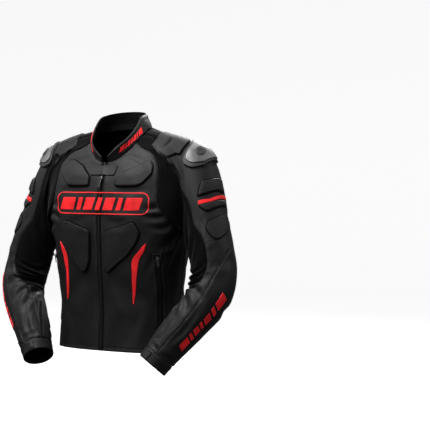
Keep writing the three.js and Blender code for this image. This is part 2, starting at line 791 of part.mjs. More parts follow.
// The ribbed stretch panel beside the armhole, with its ribs across its length.
function buildRibPanels() {
  const first = RIB_PANEL[0].at;
  const last = RIB_PANEL.at(-1).at;
  const outer = [];
  const inner = [];
  steps(2 * TORSO_RIBS).forEach((share, r) => {
    const z = mix(first, last, share);
    const { from, to } = lineAt(RIB_PANEL, 'at', z);
    const spots = steps(2).map((side) => back(mix(from, to, side), z));
    const up = r % 2 ? 2.6 : 1.2;
    outer.push(spots.map(({ point, normal }) => point.clone().addScaledVector(normal, RIB_LIFT + up)));
    inner.push(spots.map(({ point, normal }) => point.clone().addScaledVector(normal, RIB_LIFT)));
  });
  addPair('rib_panel', wall(outer, inner), 'stretch');
}

// A place on the two backs, straight between two rows of their levels.
function onBackPanels(place, level) {
  const above = TORSO_ROWS.findIndex((row) => row >= level);
  const levels = [TORSO_ROWS[above - 1], TORSO_ROWS[above]];
  const turn = (row) => mix(seamAngle(row, true), Math.PI, place < 1 ? place : 2 - place);
  const angles = levels.map((row) => turn(row) * (place < 1 ? 1 : -1));
  const share = (level - levels[0]) / (levels[1] - levels[0]);
  const point = torsoPoint(angles[0], levels[0]).lerp(torsoPoint(angles[1], levels[1]), share);
  return { point, normal: torsoNormal(mix(...angles, share), level) };
}

const BLADE = { height: 1.6, step: 18 };

function buildTorsoPieces() {
  const chest = { lift: 1.1, height: 5.4, rim: 1.5, columns: 3, step: 24, end: 4, edge: 4 };
  addSides('chest_pad', (rows) => lain(turned(front), rows, chest), CHEST_PAD, 'pad');
  const body = { lift: 1.2, height: 6.8, rim: 1.5, columns: 4, step: 30, end: 5, edge: 6 };
  addSides('body_pad', (rows) => lain(front, rows, body), BODY_PAD, 'pad');
  addSides('blade_front', (rows) => lain(front, rows, BLADE), FRONT_BLADE, 'red');
  addPair('blade_back', lain(back, BACK_BLADE, BLADE), 'red');
  const neckBand = { lift: 1.8, height: 1.2, columns: 10, step: 0.3 };
  add('neck_band_back', lain(onBackPanels, NECK_BAND, neckBand), 'stretch');
  const tab = { height: 2.4, rim: 1.4, columns: 4, step: 14, end: 3, edge: 3 };
  add('collar_tab', lain(front, COLLAR_TAB, tab), 'leather');
  const onTorso = (turn, level) => ({
    point: torsoPoint(radians(turn), level),
    normal: torsoNormal(radians(turn), level),
  });
  const cinch = { height: 3, rim: 1.6, columns: 3, step: 0.2, end: 0.06, edge: 1.4 };
  addPair('waist_tab', lain(onTorso, WAIST_TAB, cinch), 'leather');
}

// ---------- pieces on the sleeves ----------

const YOKE_PAD = strip([
  [8, -0.84, -0.72],
  [36, -0.9, -0.665],
  [60, -0.9, -0.625],
  [89, -0.885, -0.585],
  [101, -0.872, -0.635],
  [113, -0.866, -0.72],
  [122, -0.862, -0.775],
]);
const SHOULDER_RIM = strip([
  [-0.68, -2, 14],
  [-0.6, -26, 50],
  [-0.54, -38, 84],
  [-0.48, -41, 94],
  [-0.37, -30, 71],
  [-0.32, -14, 42],
]);
const SHOULDER_PLATE = strip([
  [-0.65, 0, 14],
  [-0.58, -20, 50],
  [-0.52, -29, 79],
  [-0.47, -31, 79],
  [-0.4, -24, 66],
  [-0.35, -8, 40],
]);
const ARM_PAD = strip([
  [-4, -0.155, -0.075],
  [12, -0.163, -0.08],
  [40, -0.182, -0.097],
  [59, -0.217, -0.116],
  [66, -0.18, -0.128],
  [73, -0.148, -0.138],
]);
const ARM_STRIPE = strip([
  [-13, -0.055, -0.033],
  [0, -0.057, -0.035],
  [25, -0.056, -0.036],
  [46, -0.062, -0.042],
  [60, -0.083, -0.058],
  [76, -0.11, -0.08],
]);
const ARM_SHIELD = strip([
  [0.33, 2, 58],
  [0.38, -2, 65],
  [0.45, -2, 69],
  [0.61, 1, 66],
  [0.75, 9, 62],
  [0.89, 19, 56],
  [0.98, 42, 50],
]);

const RIM_HEIGHT = 5;

function buildSleevePieces() {
  const yoke = { lift: 2.6, height: 3.2, rim: 1.4, columns: 3, step: 20, end: 5, edge: 0.02 };
  addPair('yoke_pad', lain(turned(onSleeve), YOKE_PAD, yoke), 'pad');
  const rim = { lift: 2, height: RIM_HEIGHT, rim: 1.6, columns: 7, step: 0.12, end: 0.015, edge: 6 };
  addPair('shoulder_rim', lain(onSleeve, SHOULDER_RIM, rim), 'rubber');
  const plate = { height: 3, rim: 1.4, columns: 7, step: 0.12, end: 0.012, edge: 4 };
  const onRim = { ...plate, lift: RIM_HEIGHT + 4.2 };
  addPair('shoulder_plate', lain(onSleeve, SHOULDER_PLATE, onRim), 'plate');
  const arm = { lift: 0.8, height: 4.8, rim: 1.5, columns: 2, step: 14, end: 4, edge: 0.01 };
  addPair('arm_pad', lain(turned(onSleeve), ARM_PAD, arm), 'pad');
  addPair('arm_stripe', lain(turned(onSleeve), ARM_STRIPE, { lift: 0.6, height: 1.2, step: 10 }), 'red');
  const shield = { lift: 1, height: 1.6, rim: 0.9, columns: 5, step: 0.18, end: 0.05, edge: 3 };
  addPair('arm_shield', lain(onSleeve, ARM_SHIELD, shield), 'pad');
}

// ---------- zips, sliders and pulls ----------

const COIL_HALF = 2.4;
const BODY = { wide: 9, long: 13, high: 3.4 };
const BAIL = { outer: 2.9, inner: 1.6, wide: 2.4, out: 1.7 };
const PULL = { thick: 1.4, bar: 0.8, eye: 4.2, eyeEnd: 4.2, wide: 7.4 };

// A zip's tape along a path of places, with its raised coil down the middle.
function tape(path, { half, under, face, coil }) {
  const heights = [
    [-half, face],
    [-COIL_HALF, coil],
    [COIL_HALF, coil],
    [half, face],
  ];
  const rows = path.map(({ point, normal }, r) => {
    const before = path[Math.max(r - 1, 0)].point;
    const after = path[Math.min(r + 1, path.length - 1)].point;
    const across = after.clone().sub(before).cross(normal).normalize();
    const place = (side, up) => point.clone().addScaledVector(across, side).addScaledVector(normal, up);
    const outer = heights.map(([side, up]) => place(side, up));
    return { outer, inner: heights.map(([side]) => place(side, under)) };
  });
  return wall(rows.map((row) => row.outer), rows.map((row) => row.inner));
}

// The frame a slider stands in: X across its zip, Y up along it and Z out from it.
function sliderFrame(spot, ahead, height) {
  const out = spot.normal.clone();
  const across = ahead.clone().sub(spot.point).cross(out).normalize();
  const along = out.clone().cross(across);
  const origin = spot.point.clone().addScaledVector(out, height);
  return new THREE.Matrix4().makeBasis(across, along, out).setPosition(origin);
}

// ---------- joined and cut solids ----------

function toSolid(shape) {
  const geometry = shape.clone();
  geometry.deleteAttribute('normal');
  geometry.deleteAttribute('uv');
  const closed = mergeVertices(geometry, 1e-5);
  const vertProperties = Float32Array.from(closed.attributes.position.array);
  const triVerts = Uint32Array.from(closed.index.array);
  return new wasm.Manifold(new wasm.Mesh({ numProp: 3, vertProperties, triVerts }));
}

function fromSolid(solid) {
  const mesh = solid.getMesh();
  const geometry = new THREE.BufferGeometry();
  geometry.setAttribute('position', new THREE.Float32BufferAttribute(mesh.vertProperties, 3));
  geometry.setIndex(Array.from(mesh.triVerts));
  geometry.computeVertexNormals();
  return geometry;
}

const box = (x, y, z, px, py, pz) => new THREE.BoxGeometry(x, y, z).translate(px, py, pz);

// A round bar through the bail, along X.
const roundBar = (radius, length) =>
  new THREE.CylinderGeometry(radius, radius, length, 12)
    .rotateZ(Math.PI / 2)
    .translate(0, 0, BODY.high + BAIL.out);

// A slider: a body with cut corners, and the ring on it that holds the pull.
function sliderBody() {
  const { wide, long, high } = BODY;
  let solid = toSolid(box(wide, long, high, 0, 0, high / 2));
  [[-1, -1], [-1, 1], [1, -1], [1, 1]].forEach(([x, y]) => {
    const corner = new THREE.BoxGeometry(3, 3, 9).rotateZ(Math.PI / 4);
    solid = solid.subtract(toSolid(corner.translate((x * wide) / 2, (y * long) / 2, 0)));
  });
  const bail = toSolid(roundBar(BAIL.outer, BAIL.wide));
  return fromSolid(solid.add(bail).subtract(toSolid(roundBar(BAIL.inner, 2 * wide))));
}

// A pull hangs from the bail: a bar through the ring, an eye round it, and a tapered plate.
function pullPlate(length) {
  const { thick, bar, eye, eyeEnd, wide } = PULL;
  const half = [
    [wide / 2, bar],
    [wide / 2, -eyeEnd - 2],
    [wide / 2 - 0.9, 1.5 - length],
    [wide / 2 - 2.2, -length],
  ];
  const outline = [...half, ...half.map(([x, y]) => [-x, y]).reverse()];
  const shape = new THREE.Shape(outline.map(([x, y]) => new THREE.Vector2(x, y)));
  const plate = new THREE.ExtrudeGeometry(shape, { depth: thick, bevelEnabled: false });
  const hole = box(eye, eyeEnd - bar, 3 * thick, 0, -(bar + eyeEnd) / 2, 0);
  return fromSolid(toSolid(plate.translate(0, 0, -thick / 2)).subtract(toSolid(hole)));
}

const bailFrame = (frame) => {
  const up = new THREE.Matrix4().makeTranslation(0, 0, BODY.high + BAIL.out);
  return frame.clone().multiply(up);
};

const MAIN_SLIDER_Z = -133;
const MAIN_PULL = 26;
const POCKET_X = 154;
const POCKET_TOP = -332;
const POCKET_END = -518;
const SMALL_PULL = 20;
const CUFF_ZIP = { from: { turn: 165, row: 4.95 }, to: { turn: 144, row: 7.8 } };
const SMALL_TAPE = { half: 5.5, under: LIFT, face: LIFT + 1, coil: LIFT + 1.9 };

function buildZips() {
  const onTorso = (level) => ({ point: torsoPoint(0, level), normal: torsoNormal(0, level) });
  const middle = TORSO_ROWS.map(onTorso);
  const main = tape(middle, { half: ZIP_HALF - SEAM, under: -LEATHER, face: -0.8, coil: 0 });
  add('main_zip', main, 'rubber');
  const atTop = sliderFrame(front(0, MAIN_SLIDER_Z), front(0, MAIN_SLIDER_Z + 5).point, 0.5);
  add('zip_slider', sliderBody().applyMatrix4(atTop), 'metal');
  add('zip_pull', pullPlate(MAIN_PULL).applyMatrix4(bailFrame(atTop)), 'metal');

  const heights = steps(6).map((share) => mix(POCKET_END, POCKET_TOP, share));
  const pocketTape = toSolid(tape(heights.map((z) => front(POCKET_X, z)), SMALL_TAPE));
  const slideAt = POCKET_TOP - 10;
  const base = SMALL_TAPE.coil - 0.4;
  const atPocket = sliderFrame(front(POCKET_X, slideAt), front(POCKET_X, slideAt + 5).point, base);
  const pocketSlider = toSolid(sliderBody().applyMatrix4(atPocket));
  addPair('pocket_zip', fromSolid(pocketTape.add(pocketSlider)), 'rubber');
  addPair('pocket_pull', pullPlate(SMALL_PULL).applyMatrix4(bailFrame(atPocket)), 'metal');

  const { from, to } = CUFF_ZIP;
  const cuffPath = steps(6).map((share) =>
    onSleeve(mix(from.turn, to.turn, share), mix(from.row, to.row, share)));
  addPair('cuff_zip', tape(cuffPath, SMALL_TAPE), 'rubber');
}

buildTorso();
buildSleeves();
buildCollar();
buildHump();
buildBadge();
buildRibPanels();
buildTorsoPieces();
buildSleevePieces();
buildZips();

export default group;
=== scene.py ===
import math

import bmesh
import bpy
import numpy as np
from mathutils import Matrix, Vector


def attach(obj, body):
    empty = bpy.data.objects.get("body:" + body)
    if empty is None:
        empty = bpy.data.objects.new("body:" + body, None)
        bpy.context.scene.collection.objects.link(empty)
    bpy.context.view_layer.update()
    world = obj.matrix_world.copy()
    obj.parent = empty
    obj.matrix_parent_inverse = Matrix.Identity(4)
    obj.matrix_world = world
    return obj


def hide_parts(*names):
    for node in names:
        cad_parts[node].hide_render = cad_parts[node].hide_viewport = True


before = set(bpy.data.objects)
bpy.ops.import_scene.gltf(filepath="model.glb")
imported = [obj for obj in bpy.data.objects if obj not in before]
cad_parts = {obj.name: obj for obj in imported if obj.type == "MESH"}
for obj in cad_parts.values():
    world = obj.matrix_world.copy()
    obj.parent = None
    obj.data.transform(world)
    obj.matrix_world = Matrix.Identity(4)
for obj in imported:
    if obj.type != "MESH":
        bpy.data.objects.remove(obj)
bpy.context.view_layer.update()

MM = 0.001

# ---------- the same surfaces as the solids, in millimetres ----------

ARMPIT, NECK, BAND = 4, 9, 1
ZIP_HALF = 8
TORSO = np.array([
    # level, zFront, zSide, zBack, halfWidth, frontDepth, backDepth, frontSquare, backSquare
    [0, -590, -596, -618, 184, 126, 120, 2.5, 2.3],
    [1, -528, -530, -534, 179, 122, 115, 2.5, 2.3],
    [2, -440, -440, -443, 175, 122, 110, 2.6, 2.3],
    [3, -350, -348, -348, 184, 128, 117, 2.75, 2.3],
    [4, -262, -256, -256, 197, 132, 126, 2.9, 2.3],
    [5, -205, -188, -190, 197, 130, 130, 3, 2.35],
    [6, -163, -125, -130, 189, 124, 129, 2.9, 2.4],
    [7, -130, -68, -74, 176, 116, 120, 2.6, 2.4],
    [8, -106, -12, -26, 135, 104, 98, 2.2, 2.2],
    [9, -88, 0, 12, 84, 97, 64, 2.05, 2.05],
])
RAGLAN = np.array([
    # level, frontX, backX
    [4, 197, 197], [4.15, 191, 193], [4.4, 180, 187], [4.75, 168, 180], [5.2, 161, 173],
    [5.8, 158, 165], [6.4, 155, 157], [7, 149, 147], [7.6, 130, 132], [8.3, 97, 104], [9, 71, 70],
])
ARM = np.array([
    # row, x, y, z, outRadius, frontRadius, tilt, seamFront, seamUnder, seamBack
    [0, 259, -10, -256, 61, 66, 0.6, 98, 196, 302],
    [1, 279, -24, -320, 60, 64, 0.35, 80, 198, 300],
    [2, 292, -35, -378, 60, 62, 0.2, 84, 200, 298],
    [3, 293, -54, -424, 58, 60, 0.1, 104, 202, 298],
    [4, 277, -77, -464, 55, 57, 0, 130, 204, 300],
    [5, 249, -99, -503, 52, 54, 0, 138, 206, 304],
    [6, 221, -121, -543, 48, 50, 0, 142, 206, 308],
    [7, 200, -138, -573, 44, 46, 0, 142, 206, 310],
    [8, 190, -146, -588, 42, 45, 0, 142, 206, 310],
    [9, 174, -159, -611, 41, 44, 0, 142, 206, 310],
])
COLLAR = np.array([
    # angle, rise, lean
    [0, 7, 2], [12, 22, 7], [26, 33, 7], [45, 35, -4], [66, 34, -15], [90, 38, -22],
    [135, 40, -13], [180, 40, -8],
])
# The columns of TORSO and ARM by name.
Z_FRONT, Z_SIDE, Z_BACK, HALF_WIDTH, DEPTH_FRONT, DEPTH_BACK, SQUARE_FRONT, SQUARE_BACK = range(1, 9)
ARM_CENTRE, OUT_RADIUS, FRONT_RADIUS, TILT = slice(1, 4), 4, 5, 6
SEAM_FRONT, SEAM_UNDER, SEAM_BACK = 7, 8, 9
# The sleeve's rows end here, and its normals are taken up to a little before.
ARM_END, STEADY_ROW = 9, 8.95
# The sleeve's columns: its top ends, its under side ends, the loop closes.
TOP_END, UNDER_END, LOOP_END = 8, 20, 29
NECK_FRONT, ARMPIT_COLUMN = 9, 19


def smooth_rows(table, value):
    """The table's row at each value, on smooth curves through its rows."""
    value = np.asarray(value, float)
    keys, last = table[:, 0], len(table) - 1
    i = np.clip(np.searchsorted(keys, value, "left") - 1, 0, last - 1)
    p, q = np.maximum(i - 1, 0), np.minimum(i + 2, last)
    span = (keys[i + 1] - keys[i])[..., None]
    t = np.clip((value - keys[i]) / (keys[i + 1] - keys[i]), 0, 1)[..., None]
    a, b = table[i], table[i + 1]
    slope_a = (b - table[p]) / (keys[i + 1] - keys[p])[..., None] * span
    slope_b = (table[q] - a) / (keys[q] - keys[i])[..., None] * span
    return (a * (2 * t**3 - 3 * t**2 + 1) + slope_a * (t**3 - 2 * t**2 + t)
            + b * (3 * t**2 - 2 * t**3) + slope_b * (t**3 - t**2))


def unit(v):
    return v / np.maximum(np.linalg.norm(v, axis=-1, keepdims=True), 1e-12)


def run_of(path):
    """The distance along a path at each of its points."""
    return np.concatenate([[0], np.cumsum(np.linalg.norm(np.diff(path, axis=0), axis=1))])


def at_run(values, run, table):
    """A table's columns at distances along its path."""
    return np.stack([np.interp(values, run, table[:, k]) for k in range(table.shape[1])], -1)


def sign_power(value, power):
    return np.sign(value) * np.abs(value) ** power


def smoothstep(x):
    x = np.clip(x, 0, 1)
    return x * x * (3 - 2 * x)


def quarter_round(x):
    """Rises from 0 to 1 as a quarter of a circle does."""
    return np.sqrt(np.maximum(1 - (1 - np.clip(x, 0, 1)) ** 2, 0))


def outward(surface, u, v, du, dv):
    return unit(np.cross(surface(u + du, v) - surface(u - du, v),
                         surface(u, v + dv) - surface(u, v - dv)))


def torso_point(angle, level):
    """A point of the torso. The angle is 0 at the front centre and a quarter turn at the wearer's left."""
    angle, level = np.broadcast_arrays(np.asarray(angle, float), np.asarray(level, float))
    r = smooth_rows(TORSO, level)
    cos, sin = np.cos(angle), np.sin(angle)
    is_front = cos > 0
    power = 2 / np.where(is_front, r[..., SQUARE_FRONT], r[..., SQUARE_BACK])
    depth = np.where(is_front, r[..., DEPTH_FRONT], r[..., DEPTH_BACK])
    tip = np.where(is_front, r[..., Z_FRONT], r[..., Z_BACK])
    z = r[..., Z_SIDE] + (tip - r[..., Z_SIDE]) * np.abs(cos) ** 1.5
    return np.stack([r[..., HALF_WIDTH] * sign_power(sin, power), -depth * sign_power(cos, power), z], -1)


def torso_normal(angle, level):
    inside = np.clip(level, 0.03, NECK - 0.03)
    return outward(torso_point, angle, inside, 0.02, 0.03)


def angle_at(x, level, back=False):
    """The torso angle at a distance from the centre."""
    r = smooth_rows(TORSO, level)
    share = np.minimum(np.abs(x) / r[..., HALF_WIDTH], 1)
    angle = np.arcsin(share ** (r[..., SQUARE_BACK if back else SQUARE_FRONT] / 2))
    return (np.pi - angle if back else angle) * np.where(np.asarray(x) < 0, -1, 1)


def torso_place(x, z, back=False):
    """The torso angle and level at a distance from the centre and a height."""
    x, z = np.broadcast_arrays(np.asarray(x, float), np.asarray(z, float))
    low, high = np.zeros(x.shape), np.full(x.shape, float(NECK))
    for _ in range(24):
        level = (low + high) / 2
        under = torso_point(angle_at(x, level, back), level)[..., 2] < z
        low, high = np.where(under, level, low), np.where(under, high, level)
    return angle_at(x, low, back), low


# The sleeve seam: the torso angle and level of each of its columns.
def make_loop():
    neck_back = angle_at(RAGLAN[-1, 2], NECK, True)
    top = [(a, NECK) for a in np.linspace(neck_back, math.radians(74), TOP_END + 1)]
    front = [(angle_at(x, level), level) for level, x, _ in RAGLAN[::-1]]
    back = [(angle_at(x, level, True), level) for level, _, x in RAGLAN[1:]]
    return np.array([(float(a), float(b)) for a, b in top + front + back])


LOOP = make_loop()
LOOP_TABLE = np.column_stack([np.arange(LOOP_END + 1), LOOP])
LOOP_PARTS = [LOOP_TABLE[NECK_FRONT:ARMPIT_COLUMN + 1], LOOP_TABLE[ARMPIT_COLUMN:]]


def loop_at(column):
    """The same at any column, smooth along the front and the back."""
    around = np.mod(column, LOOP_END)
    angle = np.interp(around, LOOP_TABLE[:, 0], LOOP_TABLE[:, 1])
    level = np.interp(around, LOOP_TABLE[:, 0], LOOP_TABLE[:, 2])
    for part in LOOP_PARTS:
        inside = (around >= part[0, 0]) & (around <= part[-1, 0])
        if np.any(inside):
            rows = smooth_rows(part, np.clip(around, part[0, 0], part[-1, 0]))
            angle = np.where(inside, rows[..., 1], angle)
            level = np.where(inside, np.clip(rows[..., 2], ARMPIT, NECK), level)
    return angle, level


def arm_frame(row):
    """The arm's measures at a row, and its directions along, outward and to the front."""
    r = smooth_rows(ARM, row)
    along = unit(smooth_rows(ARM, np.minimum(row + 0.05, ARM_END))[..., ARM_CENTRE]
                 - smooth_rows(ARM, np.maximum(row - 0.05, 0))[..., ARM_CENTRE])
    out = unit(np.array([1.0, 0, 0]) - along * along[..., :1])
    return r, along, out, np.cross(along, out)


def seam_angles(row):
    """The angles of the sleeve's back, front and under seams, from its outer line on to the front."""
    r = smooth_rows(ARM, row)
    return r[..., SEAM_BACK] - 360, r[..., SEAM_FRONT], r[..., SEAM_UNDER], r[..., SEAM_BACK]


def column_angle(column, row):
    around = np.mod(column, LOOP_END)
    back, front, under, last = seam_angles(row)
    top = back + (front - back) * around / TOP_END
    low = front + (under - front) * (around - TOP_END) / (UNDER_END - TOP_END)
    rear = under + (last - under) * (around - UNDER_END) / (LOOP_END - UNDER_END)
    return np.radians(np.where(around < TOP_END, top, np.where(around < UNDER_END, low, rear)))


def arm_point(angle, row):
    r, along, out, front = arm_frame(row)
    reach = (r[..., OUT_RADIUS] * np.cos(angle))[..., None]
    return (r[..., ARM_CENTRE] + out * reach - along * r[..., TILT, None] * reach
            + front * (r[..., FRONT_RADIUS] * np.sin(angle))[..., None])


def cap_controls(column):
    """The four Bezier points of the sleeve's cap at a column, from the sleeve seam to the arm's row 0."""
    angle, level = loop_at(column)
    normal, start = torso_normal(angle, level), torso_point(angle, level)
    turn = column_angle(column, 0.0)
    end = arm_point(turn, 0.0)
    over = np.maximum(np.cos(turn), 0) ** 2
    reach = ((0.46 + 0.15 * over) * np.linalg.norm(end - start, axis=-1))[..., None]
    away = np.minimum(np.abs(column - ARMPIT_COLUMN) / 7, 1)
    under = (1 - away * away * (3 - 2 * away))[..., None]
    seam = torso_point(*loop_at(column + 0.5)) - torso_point(*loop_at(column - 0.5))
    square = unit(np.cross(normal, seam))
    # The cloth leaves the seam outward and a little down, but straight down under the arm.
    leave = np.array([1.0, 0, -0.25])
    leave = unit(leave - normal * (normal @ leave)[..., None])
    forward = (column - TOP_END) / (ARMPIT_COLUMN - TOP_END)
    turn_square = 0.25 * np.maximum(np.sin(np.pi * forward), 0)[..., None]
    leave = unit(leave + square * turn_square) * (1 - under)
    leave = unit(leave + normal * under - np.array([0, 0, 0.85]) * under)
    arrive = unit(arm_point(turn, 0.1) - end)
    return start, start + leave * reach, end - arrive * reach, end


def sleeve_point(column, row):
    """A point of the sleeve. Rows from -1 to 0 are its cap, and the rest its arm."""
    column, row = np.broadcast_arrays(np.asarray(column, float), np.asarray(row, float))
    flat_c, flat_r = column.ravel(), row.ravel()
    result = np.empty((flat_c.size, 3))
    cap = flat_r < 0
    if cap.any():
        p0, p1, p2, p3 = cap_controls(flat_c[cap])
        t = np.maximum(flat_r[cap] + 1, 0)[:, None]
        result[cap] = p0 * (1 - t)**3 + 3 * p1 * t * (1 - t)**2 + 3 * p2 * t**2 * (1 - t) + p3 * t**3
    if (~cap).any():
        r = np.minimum(flat_r[~cap], ARM_END)
        result[~cap] = arm_point(column_angle(flat_c[~cap], r), r)
    return result.reshape(column.shape + (3,))


def sleeve_normal(column, row):
    return outward(sleeve_point, column, np.clip(row, -0.96, STEADY_ROW), 0.15, 0.03)


def column_at(turn, row):
    """The sleeve's column at an angle in degrees."""
    back, front, under, _ = seam_angles(np.maximum(row, 0))
    top = TOP_END * (turn - back) / (front - back)
    return np.where(turn < front, top,
                    TOP_END + (UNDER_END - TOP_END) * (turn - front) / (under - front))


def collar_point(angle, share):
    """A point of the collar, by torso angle and share of the way up from the neck seam."""
    base = torso_point(angle, NECK)
    r = smooth_rows(COLLAR, np.abs(np.degrees(angle)))
    out = unit(np.stack([base[..., 0], base[..., 1] + 12, np.zeros_like(base[..., 0])], -1))
    up = np.stack([np.zeros_like(share), np.zeros_like(share), r[..., 1] * share + 0.35], -1)
    return base + out * (r[..., 2] * share**1.3)[..., None] + up


# ---------- how far round and along, in millimetres ----------

ROUND_ANGLES = np.linspace(0, np.pi, 361)
ROUND_LENGTHS = run_of(torso_point(ROUND_ANGLES, 3.0))
HALF_GIRTH = ROUND_LENGTHS[-1]


def girth(angle):
    return np.interp(np.abs(angle), ROUND_ANGLES, ROUND_LENGTHS)


# How far along the sleeve each row is, and how far round it a degree is.
ARM_LENGTHS = np.array([[-1, -130], [0, 0], [1, 68], [2, 129], [3, 179], [4, 228], [5, 281],
                        [6, 334], [7, 374], [8, 394], [9, 425]], float)
TURN_MM = 1.06


def arm_length(row):
    return np.interp(row, ARM_LENGTHS[:, 0], ARM_LENGTHS[:, 1])


def arm_row(length):
    return np.interp(length, ARM_LENGTHS[:, 1], ARM_LENGTHS[:, 0])


# ---------- folds ----------

WAVE_COUNT = 7


def waves(points, size, seed):
    """Smooth noise from -1 to 1 with features of about that size."""
    rng = np.random.default_rng(seed)
    total = 0
    for _ in range(WAVE_COUNT):
        k = unit(rng.normal(size=points.shape[-1])) * (2 * np.pi / size) * rng.uniform(0.6, 1.4)
        total = total + np.sin(points @ k + rng.uniform(0, 2 * np.pi))
    return total / WAVE_COUNT**0.5 * 0.8


def along_path(u, v, path):
    """Distance to a path, the side it lies on, and the share of the way along it."""
    path = np.asarray(path, float)
    steps = np.diff(path, axis=0)
    sizes = np.linalg.norm(steps, axis=1)
    before = np.concatenate([[0], np.cumsum(sizes)])
    best = np.full(u.shape, 1e9)
    side, share = np.zeros(u.shape), np.zeros(u.shape)
    for start, step, size, done in zip(path, steps, sizes, before):
        du, dv = u - start[0], v - start[1]
        t = np.clip((du * step[0] + dv * step[1]) / size**2, 0, 1)
        away = np.hypot(du - t * step[0], dv - t * step[1])
        closer = away < best
        best = np.where(closer, away, best)
        side = np.where(closer, np.sign(du * step[1] - dv * step[0]), side)
        share = np.where(closer, (done + t * size) / before[-1], share)
    return best, side, share


def rounded(path, count=14):
    """A smooth path through the given points."""
    path = np.asarray(path, float)
    keys = np.arange(len(path), dtype=float)
    if len(path) < 3:
        return path
    return smooth_rows(np.column_stack([keys, path]), np.linspace(0, keys[-1], count))[:, 1:]


FOLD_DEPTH = 1.45


def fold(u, v, path, width, depth, lean=0.0):
    """A crease along a path: a valley where depth is negative, a soft ridge where it is positive."""
    away, side, share = along_path(u, v, rounded(path))
    fade = np.sin(np.pi * np.clip(share, 0.02, 0.98)) ** 0.6
    skew = width * (1 + lean * side)
    hollow = np.exp(-(away / skew) ** 2)
    beside = 0.45 * np.exp(-((away - 2.0 * skew) / skew) ** 2)
    return FOLD_DEPTH * depth * fade * (hollow - beside)


# Folds of the torso, by distance round from the front centre and height, for each side.
TORSO_FOLDS = {
    "left": [
        # path, width, depth, lean
        ([(176, -196), (150, -208), (118, -212)], 7, -3.2, 0.3),
        ([(182, -222), (156, -232), (122, -230)], 7, -3.0, -0.2),
        ([(196, -246), (170, -262), (138, -258)], 8, -2.6, 0.2),
        ([(226, -262), (196, -300), (160, -312)], 11, -3.6, 0.2),
        ([(240, -300), (214, -352), (186, -398)], 14, -3.2, -0.3),
        ([(232, -380), (205, -430), (196, -490)], 15, -2.6, 0.2),
        ([(60, -392), (96, -432), (140, -452)], 20, -1.6, 0.3),
        ([(36, -404), (52, -470), (46, -540)], 18, 1.9, 0.0),
        ([(120, -480), (96, -540), (92, -580)], 16, -1.7, 0.3),
        ([(28, -196), (66, -214), (104, -206)], 13, -1.3, 0.0),
        ([(14, -232), (42, -246), (84, -238)], 11, -1.5, 0.2),
        ([(18, -180), (22, -250), (17, -330), (20, -420), (17, -520)], 7, -0.9, 0.0),
        ([(46, -166), (92, -164), (136, -160)], 8, -1.1, 0.0),
        ([(150, -118), (128, -76), (96, -70)], 9, -1.2, 0.2),
        ([(132, -384), (146, -350), (160, -322)], 9, -1.6, 0.0),
    ],
    "right": [
        ([(178, -190), (152, -200), (124, -206)], 7, -2.8, 0.3),
        ([(184, -216), (150, -228), (118, -238)], 7, -3.2, -0.2),
        ([(204, -252), (176, -264), (146, -252)], 8, -2.4, 0.2),
        ([(230, -268), (204, -296), (164, -322)], 12, -3.3, 0.2),
        ([(244, -310), (208, -362), (190, -412)], 14, -3.0, -0.3),
        ([(228, -394), (210, -444), (188, -484)], 15, -2.4, 0.2),
        ([(52, -384), (90, -420), (128, -460)], 20, -1.8, 0.3),
        ([(44, -410), (62, -478), (58, -552)], 18, 1.6, 0.0),
        ([(128, -470), (104, -528), (104, -578)], 16, -1.5, 0.3),
        ([(22, -204), (60, -210), (98, -216)], 13, -1.4, 0.0),
        ([(16, -226), (50, -240), (90, -246)], 11, -1.3, 0.2),
        ([(18, -180), (21, -240), (18, -320), (19, -440), (17, -520)], 7, -0.8, 0.0),
        ([(48, -168), (88, -162), (138, -164)], 8, -1.0, 0.0),
        ([(146, -114), (126, -82), (92, -66)], 9, -1.1, 0.2),
        ([(128, -390), (148, -346), (162, -326)], 9, -1.5, 0.0),
    ],
}
# The same behind, by distance round from the back centre and height.
BACK_FOLDS = {
    "left": [
        ([(108, -60), (96, -130), (84, -200), (66, -262)], 11, -2.4, 0.3),
        ([(178, -232), (146, -246), (112, -300), (92, -372), (96, -450)], 15, -4.0, 0.35),
        ([(198, -258), (172, -290), (158, -350), (132, -420), (118, -500)], 15, -3.6, 0.3),
        ([(214, -296), (196, -350), (170, -430), (160, -510)], 14, -3.0, -0.3),
        ([(66, -268), (78, -330), (66, -404), (60, -490)], 18, 2.6, 0.0),
        ([(24, -290), (34, -352), (26, -420), (22, -500)], 15, -1.6, 0.2),
        ([(150, -250), (124, -286), (104, -330)], 10, 2.2, 0.0),
        ([(134, -470), (104, -500), (60, -512)], 14, -1.7, 0.2),
        ([(226, -400), (200, -440), (188, -500)], 13, -2.4, 0.0),
        ([(168, -516), (130, -508), (96, -520)], 8, -1.5, 0.0),
    ],
    "right": [
        ([(108, -64), (98, -134), (82, -206), (64, -266)], 11, -2.2, 0.3),
        ([(180, -240), (140, -258), (108, -312), (90, -384), (100, -462)], 15, -3.8, 0.35),
        ([(200, -264), (170, -300), (152, -362), (134, -432), (112, -506)], 15, -3.8, 0.3),
        ([(214, -306), (192, -366), (174, -440), (156, -506)], 14, -2.8, -0.3),
        ([(70, -276), (74, -340), (62, -416), (64, -500)], 18, 2.8, 0.0),
        ([(22, -296), (30, -362), (28, -436), (20, -506)], 15, -1.5, 0.2),
        ([(148, -258), (122, -292), (98, -342)], 10, 2.2, 0.0),
        ([(140, -462), (110, -498), (64, -516)], 14, -1.6, 0.2),
        ([(224, -410), (204, -452), (184, -504)], 13, -2.2, 0.0),
        ([(162, -512), (124, -516), (88, -510)], 8, -1.4, 0.0),
    ],
}
